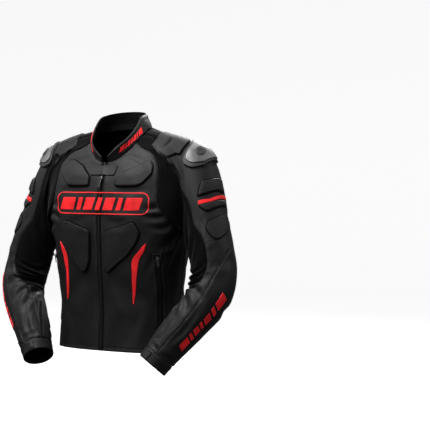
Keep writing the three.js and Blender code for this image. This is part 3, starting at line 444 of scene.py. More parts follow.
# Folds of the sleeves, by angle round and row.
SLEEVE_FOLDS = {
    "left": [
        # stretch panel: the crook of the elbow and the front of the armhole
        ([(92, 2.2), (128, 2.55), (168, 2.5), (200, 2.3)], 7, -5.2, 0.3),
        ([(96, 2.75), (130, 3.05), (170, 2.95), (204, 2.8)], 7, -5.6, -0.3),
        ([(98, 3.3), (132, 3.5), (168, 3.45), (204, 3.4)], 7, -4.6, 0.3),
        ([(84, 1.7), (112, 1.95), (150, 1.85), (186, 1.6)], 8, -3.6, 0.2),
        ([(104, 0.4), (126, 0.9), (150, 1.3)], 9, -2.6, 0.2),
        ([(112, -0.2), (140, 0.3), (166, 0.8)], 9, -3.2, -0.2),
        ([(124, -0.5), (150, -0.15), (176, 0.3)], 8, -3.0, 0.2),
        ([(108, -0.62), (124, -0.35), (140, -0.1)], 7, -2.0, 0.0),
        # leather back of the upper arm: crescents
        ([(206, -0.52), (236, -0.36), (270, -0.42), (292, -0.6)], 7, -3.6, 0.3),
        ([(202, -0.3), (234, -0.12), (268, -0.2), (296, -0.36)], 7, -4.0, -0.3),
        ([(200, -0.08), (236, 0.14), (270, 0.04), (298, -0.12)], 7, -4.0, 0.3),
        ([(200, 0.16), (236, 0.38), (272, 0.3), (298, 0.12)], 7, -3.8, -0.2),
        ([(202, 0.42), (238, 0.62), (272, 0.52), (296, 0.4)], 7, -3.6, 0.2),
        ([(204, 0.68), (240, 0.84), (276, 0.8), (298, 0.66)], 6, -3.0, 0.2),
        # top of the sleeve
        ([(-52, -0.7), (-30, -0.5), (-38, -0.2)], 9, -1.8, 0.2),
        ([(96, -0.1), (80, 0.2), (86, 0.7)], 9, -1.6, 0.0),
        ([(-40, 0.1), (-20, 0.35), (-30, 0.8)], 9, -1.6, 0.2),
        ([(88, 1.2), (70, 1.35), (40, 1.3)], 11, -0.9, 0.2),
        ([(92, 1.7), (66, 1.95), (30, 1.85), (0, 1.95)], 13, -1.0, -0.2),
        ([(100, 2.4), (72, 2.7), (34, 2.65)], 13, -1.2, 0.2),
        ([(124, 3.4), (96, 3.55), (64, 3.9)], 10, -2.8, 0.2),
        ([(136, 4.2), (110, 4.3), (84, 4.75)], 9, -3.0, -0.2),
        ([(150, 4.6), (126, 4.85), (100, 5.3)], 9, -2.6, 0.2),
        ([(176, 4.3), (150, 4.45), (128, 4.6)], 8, -3.2, 0.2),
        # forearm: long soft folds, and short ones above the cuff
        ([(60, 4.3), (50, 5.4), (58, 6.6)], 10, -1.9, 0.2),
        ([(20, 3.7), (14, 4.8), (22, 6.2)], 12, -1.8, 0.2),
        ([(110, 5.5), (100, 6.4), (112, 7.3)], 8, -2.2, 0.0),
        ([(126, 7.5), (100, 7.3), (70, 7.6)], 6, -2.2, 0.2),
        ([(60, 7.7), (30, 7.5), (0, 7.8)], 6, -1.8, -0.2),
        ([(196, 5.2), (220, 5.7), (252, 5.4)], 8, -3.0, 0.2),
        ([(190, 6.0), (222, 6.5), (256, 6.2)], 8, -2.8, -0.2),
        ([(200, 7.0), (236, 7.3), (276, 7.1)], 7, -2.4, 0.2),
        # under the ribs of the elbow
        ([(216, 3.1), (250, 3.3), (284, 3.1)], 8, -3.4, 0.2),
        ([(214, 3.6), (250, 3.85), (286, 3.65)], 8, -3.2, -0.2),
        ([(300, 3.3), (330, 3.6), (356, 3.4)], 9, -2.0, 0.0),
    ],
}
# The right sleeve's are the left's, each moved a little.
SLEEVE_FOLDS["right"] = [
    ([(turn + 3 * math.sin(7 * i + 3 * k), row + 0.07 * math.cos(5 * i + 2 * k))
      for k, (turn, row) in enumerate(path)], width, depth * (0.94 + 0.14 * (i % 2)), -lean)
    for i, (path, width, depth, lean) in enumerate(SLEEVE_FOLDS["left"])
]


def side_name(mirror):
    return "right" if mirror < 0 else "left"


def torso_shift(angle, level, mirror=1):
    """How far the torso's cloth stands off its plain form, with its drapes and creases."""
    points = torso_point(np.abs(angle), level)
    around, z = girth(angle), points[..., 2]
    total = np.zeros(around.shape)
    signs = np.where(angle < 0, -1, 1) * mirror
    for sign in (1, -1):
        here = signs == sign
        if not here.any():
            continue
        u, w, part = around[here], z[here], np.zeros(here.sum())
        for folds, place in ((TORSO_FOLDS, u), (BACK_FOLDS, HALF_GIRTH - u)):
            for path, width, depth, lean in folds[side_name(sign)]:
                part += fold(place, w, path, width, depth, lean)
        spots = np.column_stack([u, w, np.full(u.shape, 40.0 * sign)])
        part += 0.8 * waves(spots * [1, 0.55, 1], 90, 11) + 0.28 * waves(spots, 34, 12)
        total[here] = part
    calm = smoothstep(around / 12) * smoothstep((NECK - level) / 0.6)
    return total * calm


def sleeve_shift(turn, row, mirror=1):
    """The same for the sleeves, by angle in degrees and row."""
    turn, row = np.broadcast_arrays(np.asarray(turn, float), np.asarray(row, float))
    turn = np.mod(turn + 70, 360) - 70
    u, v = turn * TURN_MM, arm_length(row)
    total = np.zeros(u.shape)
    for path, width, depth, lean in SLEEVE_FOLDS[side_name(mirror)]:
        path = np.array(path, float)
        path = np.column_stack([path[:, 0] * TURN_MM, arm_length(path[:, 1])])
        for wrap in (0, -360 * TURN_MM):
            if path[:, 0].max() + wrap > -80:
                total += fold(u, v, path + [wrap, 0], width, depth, lean)
    angle = np.radians(turn)
    spots = np.stack([60 * np.cos(angle), 60 * np.sin(angle), v * 0.7 + 300 * mirror], -1)
    total += 0.55 * waves(spots, 60, 21) + 0.25 * waves(spots, 26, 22)
    return total * smoothstep((row + 1) / 0.2) * (1 - 0.7 * smoothstep(row - 7.9))


# ---------- places: a surface gives points and normals in millimetres ----------

def on_torso(angle, level, mirror=1, lift=0.0):
    shift = torso_shift(angle, level, mirror) + lift
    normal = torso_normal(angle, level)
    return torso_point(angle, level) + normal * shift[..., None], normal


def on_face(back):
    def place(x, z, mirror=1, lift=0.0):
        return on_torso(*torso_place(x, z, back), mirror, lift)
    return place


on_front, on_back = on_face(False), on_face(True)


def on_sleeve(turn, row, mirror=1, lift=0.0):
    turn, row = np.broadcast_arrays(np.asarray(turn, float), np.asarray(row, float))
    column = column_at(turn, row)
    shift = sleeve_shift(turn, row, mirror) + lift
    inside = np.minimum(row, STEADY_ROW)
    normal = outward(sleeve_point, column, inside, 0.1, 0.03)
    return sleeve_point(column, row) + normal * shift[..., None], normal


def on_arm(around, length, mirror=1, lift=0.0):
    """The same by millimetres round the sleeve and along it."""
    return on_sleeve(np.asarray(around) / TURN_MM, arm_row(np.asarray(length)), mirror, lift)


# ---------- meshes ----------

def add_object(name, data):
    piece = bpy.data.objects.new(name, data)
    bpy.context.collection.objects.link(piece)
    return piece


def make_object(name, points, faces, mirror=1, sharp=40):
    """A mesh from points in millimetres. A mirrored piece lies on the wearer's right."""
    points = np.asarray(points, float) * MM
    if mirror < 0:
        points = points * [-1, 1, 1]
        faces = [face[::-1] for face in faces]
    mesh = bpy.data.meshes.new(name)
    mesh.from_pydata(points.tolist(), [], faces)
    mesh.polygons.foreach_set("use_smooth", [True] * len(mesh.polygons))
    mesh.set_sharp_from_angle(angle=math.radians(sharp))
    return add_object(name, mesh)


def wall_faces(rows, columns, ring=False):
    """Faces of a closed wall: an outer grid, then an inner grid of the same size."""
    far = rows * columns
    index = np.arange(far).reshape(rows, columns)
    if ring:
        index = np.column_stack([index, index[:, 0]])
    a, b, c, d = index[:-1, :-1], index[:-1, 1:], index[1:, 1:], index[1:, :-1]
    faces = [np.stack([a, b, c, d], -1).reshape(-1, 4), np.stack([a, d, c, b], -1).reshape(-1, 4) + far]
    rims = [(index[0], True), (index[-1], False)]
    if not ring:
        rims += [(index[:, 0], False), (index[:, -1], True)]
    for line, turned in rims:
        quad = np.stack([line[:-1], line[1:], line[1:] + far, line[:-1] + far], -1)
        faces.append(quad[:, ::-1] if turned else quad)
    return np.concatenate(faces)


def wall_parts(outer, inner, ring=False):
    """A closed wall's points and faces, all turned over if it would be inside out."""
    points = np.concatenate([outer.reshape(-1, 3), inner.reshape(-1, 3)])
    faces = wall_faces(*outer.shape[:2], ring)
    a, b, c, d = (points[faces[:, k]] for k in range(4))
    volume = (a * np.cross(b, c)).sum() + (a * np.cross(c, d)).sum()
    return points, faces if volume > 0 else faces[:, ::-1]


def wall_object(name, outer, inner, mirror=1, ring=False, sharp=40, lining=False):
    points, faces = wall_parts(outer, inner, ring)
    piece = make_object(name, points, faces.tolist(), mirror, sharp)
    if lining:
        count = outer.shape[0] * outer.shape[1]
        inside = (faces >= count).all(axis=1)
        piece.data.materials.append(None)
        piece.data.materials.append(None)
        piece.data.polygons.foreach_set("material_index", inside.astype(np.int32))
    return piece


def disc_object(name, outer, inner, mirror=1, sharp=40):
    """A wall in rings. The small hole in its middle is closed by the first ring's own faces."""
    points, faces = wall_parts(outer, inner, True)
    first = list(range(outer.shape[1]))
    far = outer.shape[0] * outer.shape[1]
    return make_object(name, points, faces.tolist() + [first, [k + far for k in first][::-1]], mirror, sharp)


def joined_blocks(name, blocks, mirror, sharp=40):
    """Many small closed pieces in one mesh. Each block is its points and faces."""
    points, faces, start = [], [], 0
    for block, sides in blocks:
        points.append(block)
        faces += [tuple(k + start for k in face) for face in sides]
        start += len(block)
    return make_object(name, np.concatenate(points), faces, mirror, sharp)


# Distances from a seam at which a panel's grid has lines of its own.
NEAR_SEAM = (0.0, 1.2, 2.6, 4.4, 7.0)


def spaced_shares(length, cell, near=NEAR_SEAM):
    """Shares along a length: close together at both ends, where the seams are."""
    near = np.array(near) * min(1, 0.3 * length / near[-1])
    middle = max(int(round((length - 2 * near[-1]) / cell)), 1)
    places = np.concatenate([near[:-1], np.linspace(near[-1], length - near[-1], middle + 1),
                             length - near[:-1][::-1]])
    return places / length


def arc(points, axis):
    """Distances along the lines of a grid."""
    step = np.linalg.norm(np.diff(points, axis=axis), axis=-1)
    start = np.zeros_like(np.take(step, [0], axis=axis))
    return np.concatenate([start, np.cumsum(step, axis=axis)], axis=axis)


def from_ends(run, axis):
    """The distance from the nearer end, from the distance along an axis of a grid."""
    whole = run[-1:] if axis == 0 else run[:, -1:]
    return np.minimum(run, whole - run)


SEAM_IN = 1.7
SEAM_HALF_WIDTH = 2.3
RIM_GAP = 0.15
# The panels' sizes in metres, and their outer grids for stitches and tapes.
SHEETS, GRIDS = {}, {}


def pinch(away, noise):
    """How a sewn edge draws the cloth in, and how it puffs and puckers beside it."""
    dip = -SEAM_IN * np.exp(-(away / SEAM_HALF_WIDTH) ** 2)
    puff = 0.55 * np.exp(-((away - 7.5) / 4.5) ** 2)
    pucker = 0.4 * noise * np.exp(-((away - 5) / 6) ** 2)
    return dip + puff + pucker


def groove(away, depth, width, puff_width):
    """A sewn line inside a panel, with the cloth puffed up beside it."""
    return -depth * np.exp(-(away / width) ** 2) + 0.5 * np.exp(-((away - 6) / puff_width) ** 2)


def sewn_panel(node, base, normal, shift, sewn, thickness, mirror=1, ring=False, relief=None):
    """A node's cloth. sewn says which of its edges are seams: start, end, first and last side."""
    name = node + "_skin"
    along, across = arc(base, 0), arc(base, 1)
    edges = [along, along[-1:] - along]
    if not ring:
        edges += [across, across[:, -1:] - across]
    noise = waves(base, 13, 31 + len(name))
    total = shift.copy()
    for is_sewn, away in zip(sewn, edges):
        total += pinch(away, noise) if is_sewn else -0.3 * np.exp(-(away / 0.8) ** 2)
    if relief is not None:
        total += relief
    outer = base + normal * total[..., None]
    inner = outer - normal * thickness
    # The rims keep clear of the next panels.
    for grid in (outer, inner):
        grid[0] += unit(grid[1] - grid[0]) * RIM_GAP
        grid[-1] += unit(grid[-2] - grid[-1]) * RIM_GAP
        if not ring:
            grid[:, 0] += unit(grid[:, 1] - grid[:, 0]) * RIM_GAP
            grid[:, -1] += unit(grid[:, -2] - grid[:, -1]) * RIM_GAP
    piece = wall_object(name, outer, inner, mirror, ring, lining=True)
    if ring:
        base = np.concatenate([base, base[:, :1]], axis=1)
    corner = base[:-1, :-1]
    area = np.linalg.norm(np.cross(base[1:, :-1] - corner, base[:-1, 1:] - corner), axis=-1).sum()
    SHEETS[name] = (arc(base, 1)[:, -1].max() * MM, along[-1].max() * MM, area * MM * MM)
    GRIDS[node] = (outer, normal, mirror)
    return piece


def crowd(start, end, cell, near=NEAR_SEAM):
    """Values from start to end, close together at both ends."""
    return start + (end - start) * spaced_shares(abs(end - start), cell, near)


FRONT_LOOP, BACK_LOOP = (
    np.stack(loop_at(np.linspace(*ends, 400)))
    for ends in ((NECK_FRONT, ARMPIT_COLUMN), (ARMPIT_COLUMN, LOOP_END - 1e-6)))
def edge_angle(level, back):
    """Where a front or a back ends: at the side seam, and higher up at the sleeve seam."""
    if back:
        found = np.interp(level, BACK_LOOP[1], BACK_LOOP[0])
    else:
        found = np.interp(level, FRONT_LOOP[1][::-1], FRONT_LOOP[0][::-1])
    return np.where(level <= ARMPIT, np.pi / 2, found)


def level_heights(low, high, cell):
    """Levels from low to high about one cell apart."""
    fine = np.linspace(low, high, 600)
    z = torso_point(0.6, fine)[..., 2]
    length = abs(z[-1] - z[0])
    return np.interp(spaced_shares(length, cell) * length, np.abs(z - z[0]), fine)


CELL = 3.4
LEATHER_THICK, STRETCH_THICK = 2.0, 1.8
# The side panel's seam on a front and a back: its depth and its path, by distance round and height.
SIDE_SEAMS = {
    False: (1.2, [(196, -268), (178, -330), (168, -420), (166, -590)]),
    True: (1.3, [(150, -262), (136, -330), (124, -420), (118, -530)]),
}
HEM_GROOVE = 9
def build_torso_panel(node, back, mirror, low, high):
    """A front or a back, between two levels: from the zip or the back centre to its side."""
    levels = level_heights(low, high, CELL)[:, None]
    rim = edge_angle(levels[:, 0], back)[:, None]
    start = np.full_like(rim, np.pi) if back else angle_at(ZIP_HALF, levels)
    shares = spaced_shares(195 if back else 185, CELL)[None, :]
    angle = start + (rim - start) * shares
    level = levels + 0 * angle
    base, normal = torso_point(angle, level), torso_normal(angle, level)
    across = arc(base, 1)
    to_rim = across[:, -1:] - across
    calm = np.where(levels > ARMPIT - 0.3, smoothstep((to_rim - 1.5) / 15), 1)
    shift = torso_shift(angle, level, mirror) * calm
    depth, path = SIDE_SEAMS[back]
    around = HALF_GIRTH - girth(angle) if back else girth(angle)
    relief = groove(along_path(around, base[..., 2], rounded(path))[0], depth, 1.8, 4)
    if not back:
        relief += -1.2 * np.exp(-((arc(base, 0) - HEM_GROOVE) / 1.8) ** 2)
    return sewn_panel(node, base, normal, shift, (low > 0, True, True, True), LEATHER_THICK, mirror,
                      relief=relief)


# How far round the sleeve its leather reaches over the shoulder, by row: the columns of its front edge.
LEATHER_EDGE = np.array([
    (-1, 8), (-0.9, 8), (-0.86, 10.2), (-0.82, 11.6), (-0.76, 12), (-0.66, 12), (-0.56, 11.9),
    (-0.47, 11.4), (-0.35, 10.3), (-0.25, 9.2), (-0.17, 8.5), (-0.07, 8.1), (0, 8)], float)


def leather_columns(column, row, mirror):
    """Moves the columns beside the front seam over to where the seam runs."""
    reach = -0.3 if mirror < 0 else 0.9
    edge = TOP_END + (np.interp(row, LEATHER_EDGE[:, 0], LEATHER_EDGE[:, 1]) - TOP_END) * reach
    over = column * edge / TOP_END
    under = edge + (column - TOP_END) * (UNDER_END - edge) / (UNDER_END - TOP_END)
    moved = np.where(column <= TOP_END, over, np.where(column < UNDER_END, under, column))
    return np.where(row < 0, moved, column)


def build_sleeve_panel(node, columns, rows, mirror, sewn, thickness=LEATHER_THICK, relief=None,
                       ring=False, cell=CELL):
    """A sleeve panel between two columns and two rows."""
    middle = (rows[0] + rows[1]) / 2
    ends = np.array([columns[0] + 1e-6, columns[1] - 1e-6])
    wide = np.diff(column_angle(ends, np.full(2, max(middle, 0.0))))[0] % (2 * np.pi)
    width = max((2 * np.pi if ring else wide) * 60, 95 if rows[0] < 0 else 0)
    if ring:
        c = np.linspace(0, LOOP_END, int(width / CELL), endpoint=False)[None, :]
    else:
        c = (columns[0] + (columns[1] - columns[0]) * spaced_shares(width, CELL))[None, :]
    r = arm_row(crowd(arm_length(rows[0]), arm_length(rows[1]), cell))[:, None]
    c, r = np.broadcast_arrays(c, r)
    c = leather_columns(c, r, mirror)
    base = sleeve_point(np.minimum(c, LOOP_END - 1e-6) if columns[1] >= LOOP_END else c, r)
    normal = sleeve_normal(c, r)
    turn = np.degrees(column_angle(np.minimum(c, LOOP_END - 1e-6), r))
    return sewn_panel(node, base, normal, sleeve_shift(turn, r, mirror), sewn, thickness, mirror, ring,
                      relief(turn, r) if relief else None)


FOREARM_SEAM = [(2, 1.32), (27, 1.58), (49, 1.98), (66, 2.6), (72, 3.3), (71, 4.2), (68, 5.2), (69, 6.2),
                (71, 7.2), (75, 8.0)]


def on_arm_path(path):
    """A smooth path on the sleeve, in millimetres round it and along it."""
    path = np.array(path, float)
    return rounded(np.column_stack([path[:, 0] * TURN_MM, arm_length(path[:, 1])]), 40)


def arm_line(path):
    """The same path, and its steps sideways."""
    path = on_arm_path(path)
    ahead = np.gradient(path, axis=0)
    ahead /= np.linalg.norm(ahead, axis=1, keepdims=True)
    return path, np.column_stack([ahead[:, 1], -ahead[:, 0]])


def seam_groove(turn, row):
    """The seam that runs down the outer forearm."""
    turn = np.mod(turn + 70, 360) - 70
    away = along_path(turn * TURN_MM, arm_length(row), on_arm_path(FOREARM_SEAM))[0]
    return groove(away, 1.4, 1.7, 3.5)


def elbow_ribs(turn, row):
    """Elbow ribs across the sleeve, fading out towards its seams and below the elbow."""
    u = (turn - 198) / 100
    seam = smoothstep(np.minimum(u, 1 - u) / 0.09)
    length = arm_length(row) + 0.06 * (turn - 250)
    fade = smoothstep((row - 1.0) / 0.12) * smoothstep((2.85 - row) / 0.18)
    return 1.5 * (0.5 - 0.5 * np.cos(2 * np.pi * length / 7.2)) * seam * fade


# ---------- materials ----------

def add_node(tree, kind, inputs=None, **settings):
    made = tree.nodes.new(kind)
    for key, value in settings.items():
        setattr(made, key, value)
    for key, value in (inputs or {}).items():
        if isinstance(value, bpy.types.NodeSocket):
            tree.links.new(value, made.inputs[key])
        else:
            made.inputs[key].default_value = value
    return made


def start_material(name, **sockets):
    material = bpy.data.materials.new(name)
    material.use_nodes = True
    tree = material.node_tree
    shader = tree.nodes["Principled BSDF"]
    for key, value in sockets.items():
        shader.inputs[key.replace("_", " ")].default_value = value
    place = add_node(tree, "ShaderNodeTexCoord").outputs["Object"]
    return material, tree, shader, place


def noise_of(tree, place, scale, detail=3.0, roughness=0.55):
    return add_node(tree, "ShaderNodeTexNoise", {"Vector": place, "Scale": scale, "Detail": detail,
                                                 "Roughness": roughness}).outputs["Fac"]


def ramp(tree, value, stops):
    made = add_node(tree, "ShaderNodeValToRGB", {"Fac": value})
    elements = made.color_ramp.elements
    while len(elements) < len(stops):
        elements.new(0.5)
    for element, (place, colour) in zip(elements, stops):
        element.position = place
        element.color = (*colour, 1)
    return made.outputs["Color"]


def span(tree, value, low, high):
    """Spreads a noise's middle values out from low to high."""
    return add_node(tree, "ShaderNodeMapRange", {"Value": value, "From Min": 0.25, "From Max": 0.75,
                                                 "To Min": low, "To Max": high}).outputs["Result"]


def bumps(tree, shader, layers):
    """Bump layers, each a height, a strength and a depth in metres."""
    normal = None
    for height, strength, depth in layers:
        inputs = {"Height": height, "Strength": strength, "Distance": depth}
        if normal:
            inputs["Normal"] = normal
        normal = add_node(tree, "ShaderNodeBump", inputs).outputs["Normal"]
    tree.links.new(normal, shader.inputs["Normal"])


def mix_colour(tree, factor, first, second, blend="MIX"):
    first, second = ((*value, 1) if isinstance(value, tuple) else value for value in (first, second))
    return add_node(tree, "ShaderNodeMix", {0: factor, 6: first, 7: second}, data_type="RGBA",
                    blend_type=blend).outputs[2]


def times(colour, share):
    return tuple(v * share for v in colour)


def rubbed_edges(tree, start):
    """1 along sharp outer edges, 0 elsewhere."""
    edges = add_node(tree, "ShaderNodeNewGeometry").outputs["Pointiness"]
    return ramp(tree, edges, [(start, (0, 0, 0)), (0.6, (1, 1, 1))])


def multiply(tree, first, second):
    return add_node(tree, "ShaderNodeMath", {0: first, 1: second}, operation="MULTIPLY").outputs[0]


def leather(name, base, worn, rough=(0.5, 0.62), grain=620.0, broad=0.0011):
    """Dyed cowhide: pebbled grain, fine creases, broad unevenness, and wear along its edges."""
    material, tree, shader, place = start_material(name, Specular_IOR_Level=0.22)
    mottle = noise_of(tree, place, 26.0, 5.0, 0.62)
    cloud = noise_of(tree, place, 6.5, 3.0)
    body = ramp(tree, mottle, [(0.28, times(base, 0.72)), (0.52, base), (0.8, times(base, 1.3))])
    patchy = multiply(tree, rubbed_edges(tree, 0.515), span(tree, cloud, 0.0, 0.75))
    tree.links.new(mix_colour(tree, patchy, body, worn), shader.inputs["Base Color"])
    tree.links.new(span(tree, mottle, *rough), shader.inputs["Roughness"])
    pebbles = add_node(tree, "ShaderNodeTexVoronoi", {"Vector": place, "Scale": grain, "Randomness": 0.9},
                       feature="SMOOTH_F1").outputs["Distance"]
    fine = noise_of(tree, place, 210.0, 4.0, 0.6)
    soft = noise_of(tree, place, 17.0, 2.0, 0.45)
    bumps(tree, shader, [(soft, 0.5, broad), (fine, 0.3, 0.0003), (pebbles, 0.5, 0.00022)])
    return material


def stretch_knit(name, base, pitch=0.0016):
    """Matt stretch fabric: fine knit rows both ways."""
    material, tree, shader, place = start_material(name, Specular_IOR_Level=0.06, Sheen_Weight=0.03,
                                                   Sheen_Roughness=0.5)
    rows, columns = (
        add_node(tree, "ShaderNodeTexWave", {"Vector": place, "Scale": scale / pitch, "Distortion": wander,
                                             "Detail": 1.0}, bands_direction=axis).outputs["Fac"]
        for scale, wander, axis in ((0.05, 0.6, "Z"), (0.042, 0.8, "X")))
    fuzz = noise_of(tree, place, 500.0, 2.0)
    cloud = noise_of(tree, place, 22.0, 3.0)
    knit = multiply(tree, rows, columns)
    tone = ramp(tree, knit, [(0.0, times(base, 0.85)), (1.0, times(base, 1.2))])
    shade = ramp(tree, cloud, [(0.3, (0.72, 0.72, 0.72)), (0.7, (1.1, 1.1, 1.1))])
    tree.links.new(mix_colour(tree, 1.0, tone, shade, "MULTIPLY"), shader.inputs["Base Color"])
    tree.links.new(span(tree, fuzz, 0.8, 0.95), shader.inputs["Roughness"])
    bumps(tree, shader, [(knit, 0.6, 0.0003), (fuzz, 0.3, 0.0002)])
    return material


def moulded(name, base, rough=(0.35, 0.5), metallic=0.0, worn=None, **sockets):
    """Moulded plastic, rubber or cast metal with a fine surface texture and worn edges."""
    material, tree, shader, place = start_material(name, Metallic=metallic, **sockets)
    cloud = noise_of(tree, place, 40.0, 4.0)
    grit = noise_of(tree, place, 900.0, 2.0)
    body = ramp(tree, cloud, [(0.3, times(base, 0.82)), (0.7, times(base, 1.15))])
    tree.links.new(mix_colour(tree, rubbed_edges(tree, 0.52), body, worn or times(base, 1.5)),
                   shader.inputs["Base Color"])
    tree.links.new(span(tree, cloud, *rough), shader.inputs["Roughness"])
    bumps(tree, shader, [(grit, 0.4, 0.00006)])
    return material


LOOKS = {
    "leather": leather("leather_black", (0.0075, 0.0075, 0.0078), (0.03, 0.03, 0.03)),
    "pad": leather("leather_pads", (0.009, 0.009, 0.0093), (0.035, 0.035, 0.035), grain=700.0, broad=0.0005),
    "red": leather("leather_red", (0.86, 0.018, 0.022), (0.9, 0.06, 0.06), rough=(0.5, 0.6), broad=0.0004),
    "stretch": stretch_knit("stretch_fabric", (0.0017, 0.0017, 0.0018)),
    "ribbed": stretch_knit("ribbed_stretch", (0.0065, 0.0065, 0.007)),
    "lining": stretch_knit("lining_cloth", (0.003, 0.003, 0.0032), 0.0024),
    "thread": moulded("thread_grey", (0.022, 0.022, 0.023), (0.6, 0.8)),
    "rubber": moulded("rubber_black", (0.008, 0.008, 0.0085), (0.45, 0.6)),
    "teeth": moulded("zip_teeth", (0.009, 0.009, 0.01), (0.25, 0.4)),
    "plate": moulded("shoulder_plate", (0.15, 0.152, 0.15), (0.36, 0.5), 0.6, worn=(0.3, 0.3, 0.3)),
    "metal": moulded("slider_metal", (0.12, 0.12, 0.125), (0.3, 0.42), 1.0, worn=(0.3, 0.3, 0.3)),
    "gunmetal": moulded("slider_gunmetal", (0.03, 0.03, 0.032), (0.32, 0.45), 1.0, worn=(0.2, 0.2, 0.2)),
    # edge: the near-black strips round the pads, a painted shadow along their feet.
    "edge": moulded("painted_shadow_edging", (0.0015, 0.0015, 0.0016), (0.7, 0.85), Specular_IOR_Level=0.08),
}


def dress(piece, look, node=None):
    """Gives a piece its material, rides it on the jacket, and hides the solid it stands for."""
    slots = piece.data.materials
    if len(slots) > 1:
        slots[0], slots[1] = LOOKS[look], LOOKS["lining"]
    else:
        slots.clear()
        slots.append(LOOKS[look])
    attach(piece, "jacket")
    if node:
        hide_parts(node)
    return piece


def finish_panel(piece, node, look="leather"):
    dress(piece, look, node=node)
    width, length, area = SHEETS[piece.name]
    width = min(width, area / (0.6 * length))


# ---------- the panels ----------

for mirror in (1, -1):
    side = "_" + side_name(mirror)
    for node_name, back, low in (("front" + side, False, 0), ("back" + side, True, BAND)):
        finish_panel(build_torso_panel(node_name, back, mirror, low, NECK), node_name)
    for node_name, columns, rows, sewn, look, extra in (
            ("neck_stretch", (0, TOP_END), (-1, -0.86), (1, 1, 1, 1), "stretch",
             {"thickness": STRETCH_THICK}),
            ("sleeve_top", (0, TOP_END), (-0.86, 1), (1, 0, 1, 1), "leather", {}),
            ("sleeve_stretch", (TOP_END, UNDER_END), (-1, 4), (1, 1, 1, 1), "stretch",
             {"thickness": STRETCH_THICK}),
            ("sleeve_back", (UNDER_END, LOOP_END), (-1, 1), (1, 1, 1, 1), "leather", {}),
            ("elbow_ribs", (UNDER_END, LOOP_END), (1, 4), (1, 1, 1, 1), "leather",
             {"thickness": STRETCH_THICK, "relief": elbow_ribs, "cell": 1.3}),
            ("forearm_outer", (0, TOP_END), (1, 8), (0, 1, 1, 1), "leather", {"relief": seam_groove}),
            ("forearm_under", (TOP_END, LOOP_END), (4, 8), (1, 1, 1, 1), "leather", {}),
            ("cuff", (0, LOOP_END), (8, 9), (1, 0), "leather", {"ring": True})):
        piece = build_sleeve_panel(node_name + side, columns, rows, mirror, sewn, **extra)
        finish_panel(piece, node_name + side, look)


def build_waistband():
    levels = level_heights(0, BAND, CELL)[:, None]
    angle = np.pi / 2 + np.pi * spaced_shares(560, CELL)[None, :] + 0 * levels
    angle = np.where(angle > np.pi, angle - 2 * np.pi, angle)
    level = levels + 0 * angle
    base, normal = torso_point(angle, level), torso_normal(angle, level)
    relief = -0.7 * np.exp(-((base[..., 2] + 545) / 2.0) ** 2)
    piece = sewn_panel("waistband_back", base, normal, torso_shift(angle, level),
                       (False, True, True, True), LEATHER_THICK, relief=relief)
    finish_panel(piece, "waistband_back")


def collar_angles():
    edge = float(angle_at(ZIP_HALF, NECK))
    angle = edge + (2 * np.pi - 2 * edge) * spaced_shares(420, 2.8)
    return np.where(angle > np.pi, angle - 2 * np.pi, angle)


def collar_normal(angle, share):
    calm = np.where(np.abs(angle) > np.pi - 0.06, np.sign(angle) * (np.pi - 0.06), angle)
    return outward(collar_point, calm, np.clip(share, 0.2, 0.8), 0.05, 0.2)


def on_collar(angle, share, _mirror=1, lift=0.0):
    angle, share = np.broadcast_arrays(np.asarray(angle, float), np.asarray(share, float))
    normal = collar_normal(angle, share)
    return collar_point(angle, share) + normal * (collar_puff(angle, share) + lift)[..., None], normal


def collar_puff(angle, share):
    spots = np.stack([60 * np.sin(angle), 60 * np.cos(angle), 40 * share], -1)
    roll = 1.3 * np.exp(-((share - 0.86) / 0.14) ** 2)
    return 0.5 * np.sin(np.pi * share) + roll + 0.5 * waves(spots, 26, 51)


def build_collar():
    """The collar: sewn on at its foot, with a row of stitches and a padded roll at its top."""
    angle = collar_angles()[None, :]
    share = np.concatenate([[0, 0.03, 0.07, 0.12], np.linspace(0.18, 0.8, 9),
                            [0.86, 0.91, 0.95, 0.98, 1]])[:, None]
    angle, share = np.broadcast_arrays(angle, share)
    base, normal = collar_point(angle, share), collar_normal(angle, share)
    seam = np.exp(-(arc(base, 0) / SEAM_HALF_WIDTH) ** 2) * -1.5
    stitched = -0.7 * np.exp(-((share - 0.7225) / 0.045) ** 2)
    top = smoothstep((1 - share) / 0.09)
    outer = base + normal * (collar_puff(angle, share) * top + seam + stitched + 0.4 * top)[..., None]
    thick = 2.0 + 1.3 * np.exp(-((share - 0.84) / 0.13) ** 2) * top
    inner = outer - normal * thick[..., None]
    rim = smoothstep((share - 0.93) / 0.07)[..., None]
    middle = (outer + inner) / 2
    outer = outer + (middle - outer) * rim * 0.55
    inner = inner + (middle - inner) * rim * 0.55
    piece = wall_object("collar_skin", outer, inner, lining=True)
    length = arc(base, 1).max() * MM
    SHEETS[piece.name] = (length, 0.042, length * 0.038)
    GRIDS["collar"] = (outer, normal, 1)
    finish_panel(piece, "collar")


build_waistband()
build_collar()


# ---------- pads, blades and patches laid on the panels ----------

HUMP_LIFT = 0.4
HUMP = np.array([
    # height, half width, how far it stands up
    [-282, 2, 1.2], [-276, 11, 2.5], [-262, 26, 3.5], [-224, 46, 6], [-160, 68, 9], [-97, 84, 10],
    [-68, 89, 8], [-54, 91, 4.5],
])


def hump_at(z):
    rows = smooth_rows(HUMP, np.clip(z, HUMP[0, 0], HUMP[-1, 0]))
    return rows[..., 1], rows[..., 2]


def on_hump(x, z, mirror=1, lift=0.0):
    """The hump's outer face."""
    half, up = hump_at(z)
    side = np.clip(x / half, -1, 1)
    return on_back(x, z, mirror, HUMP_LIFT + 1.6 + up * (1 - side * side) ** 0.8 + lift)


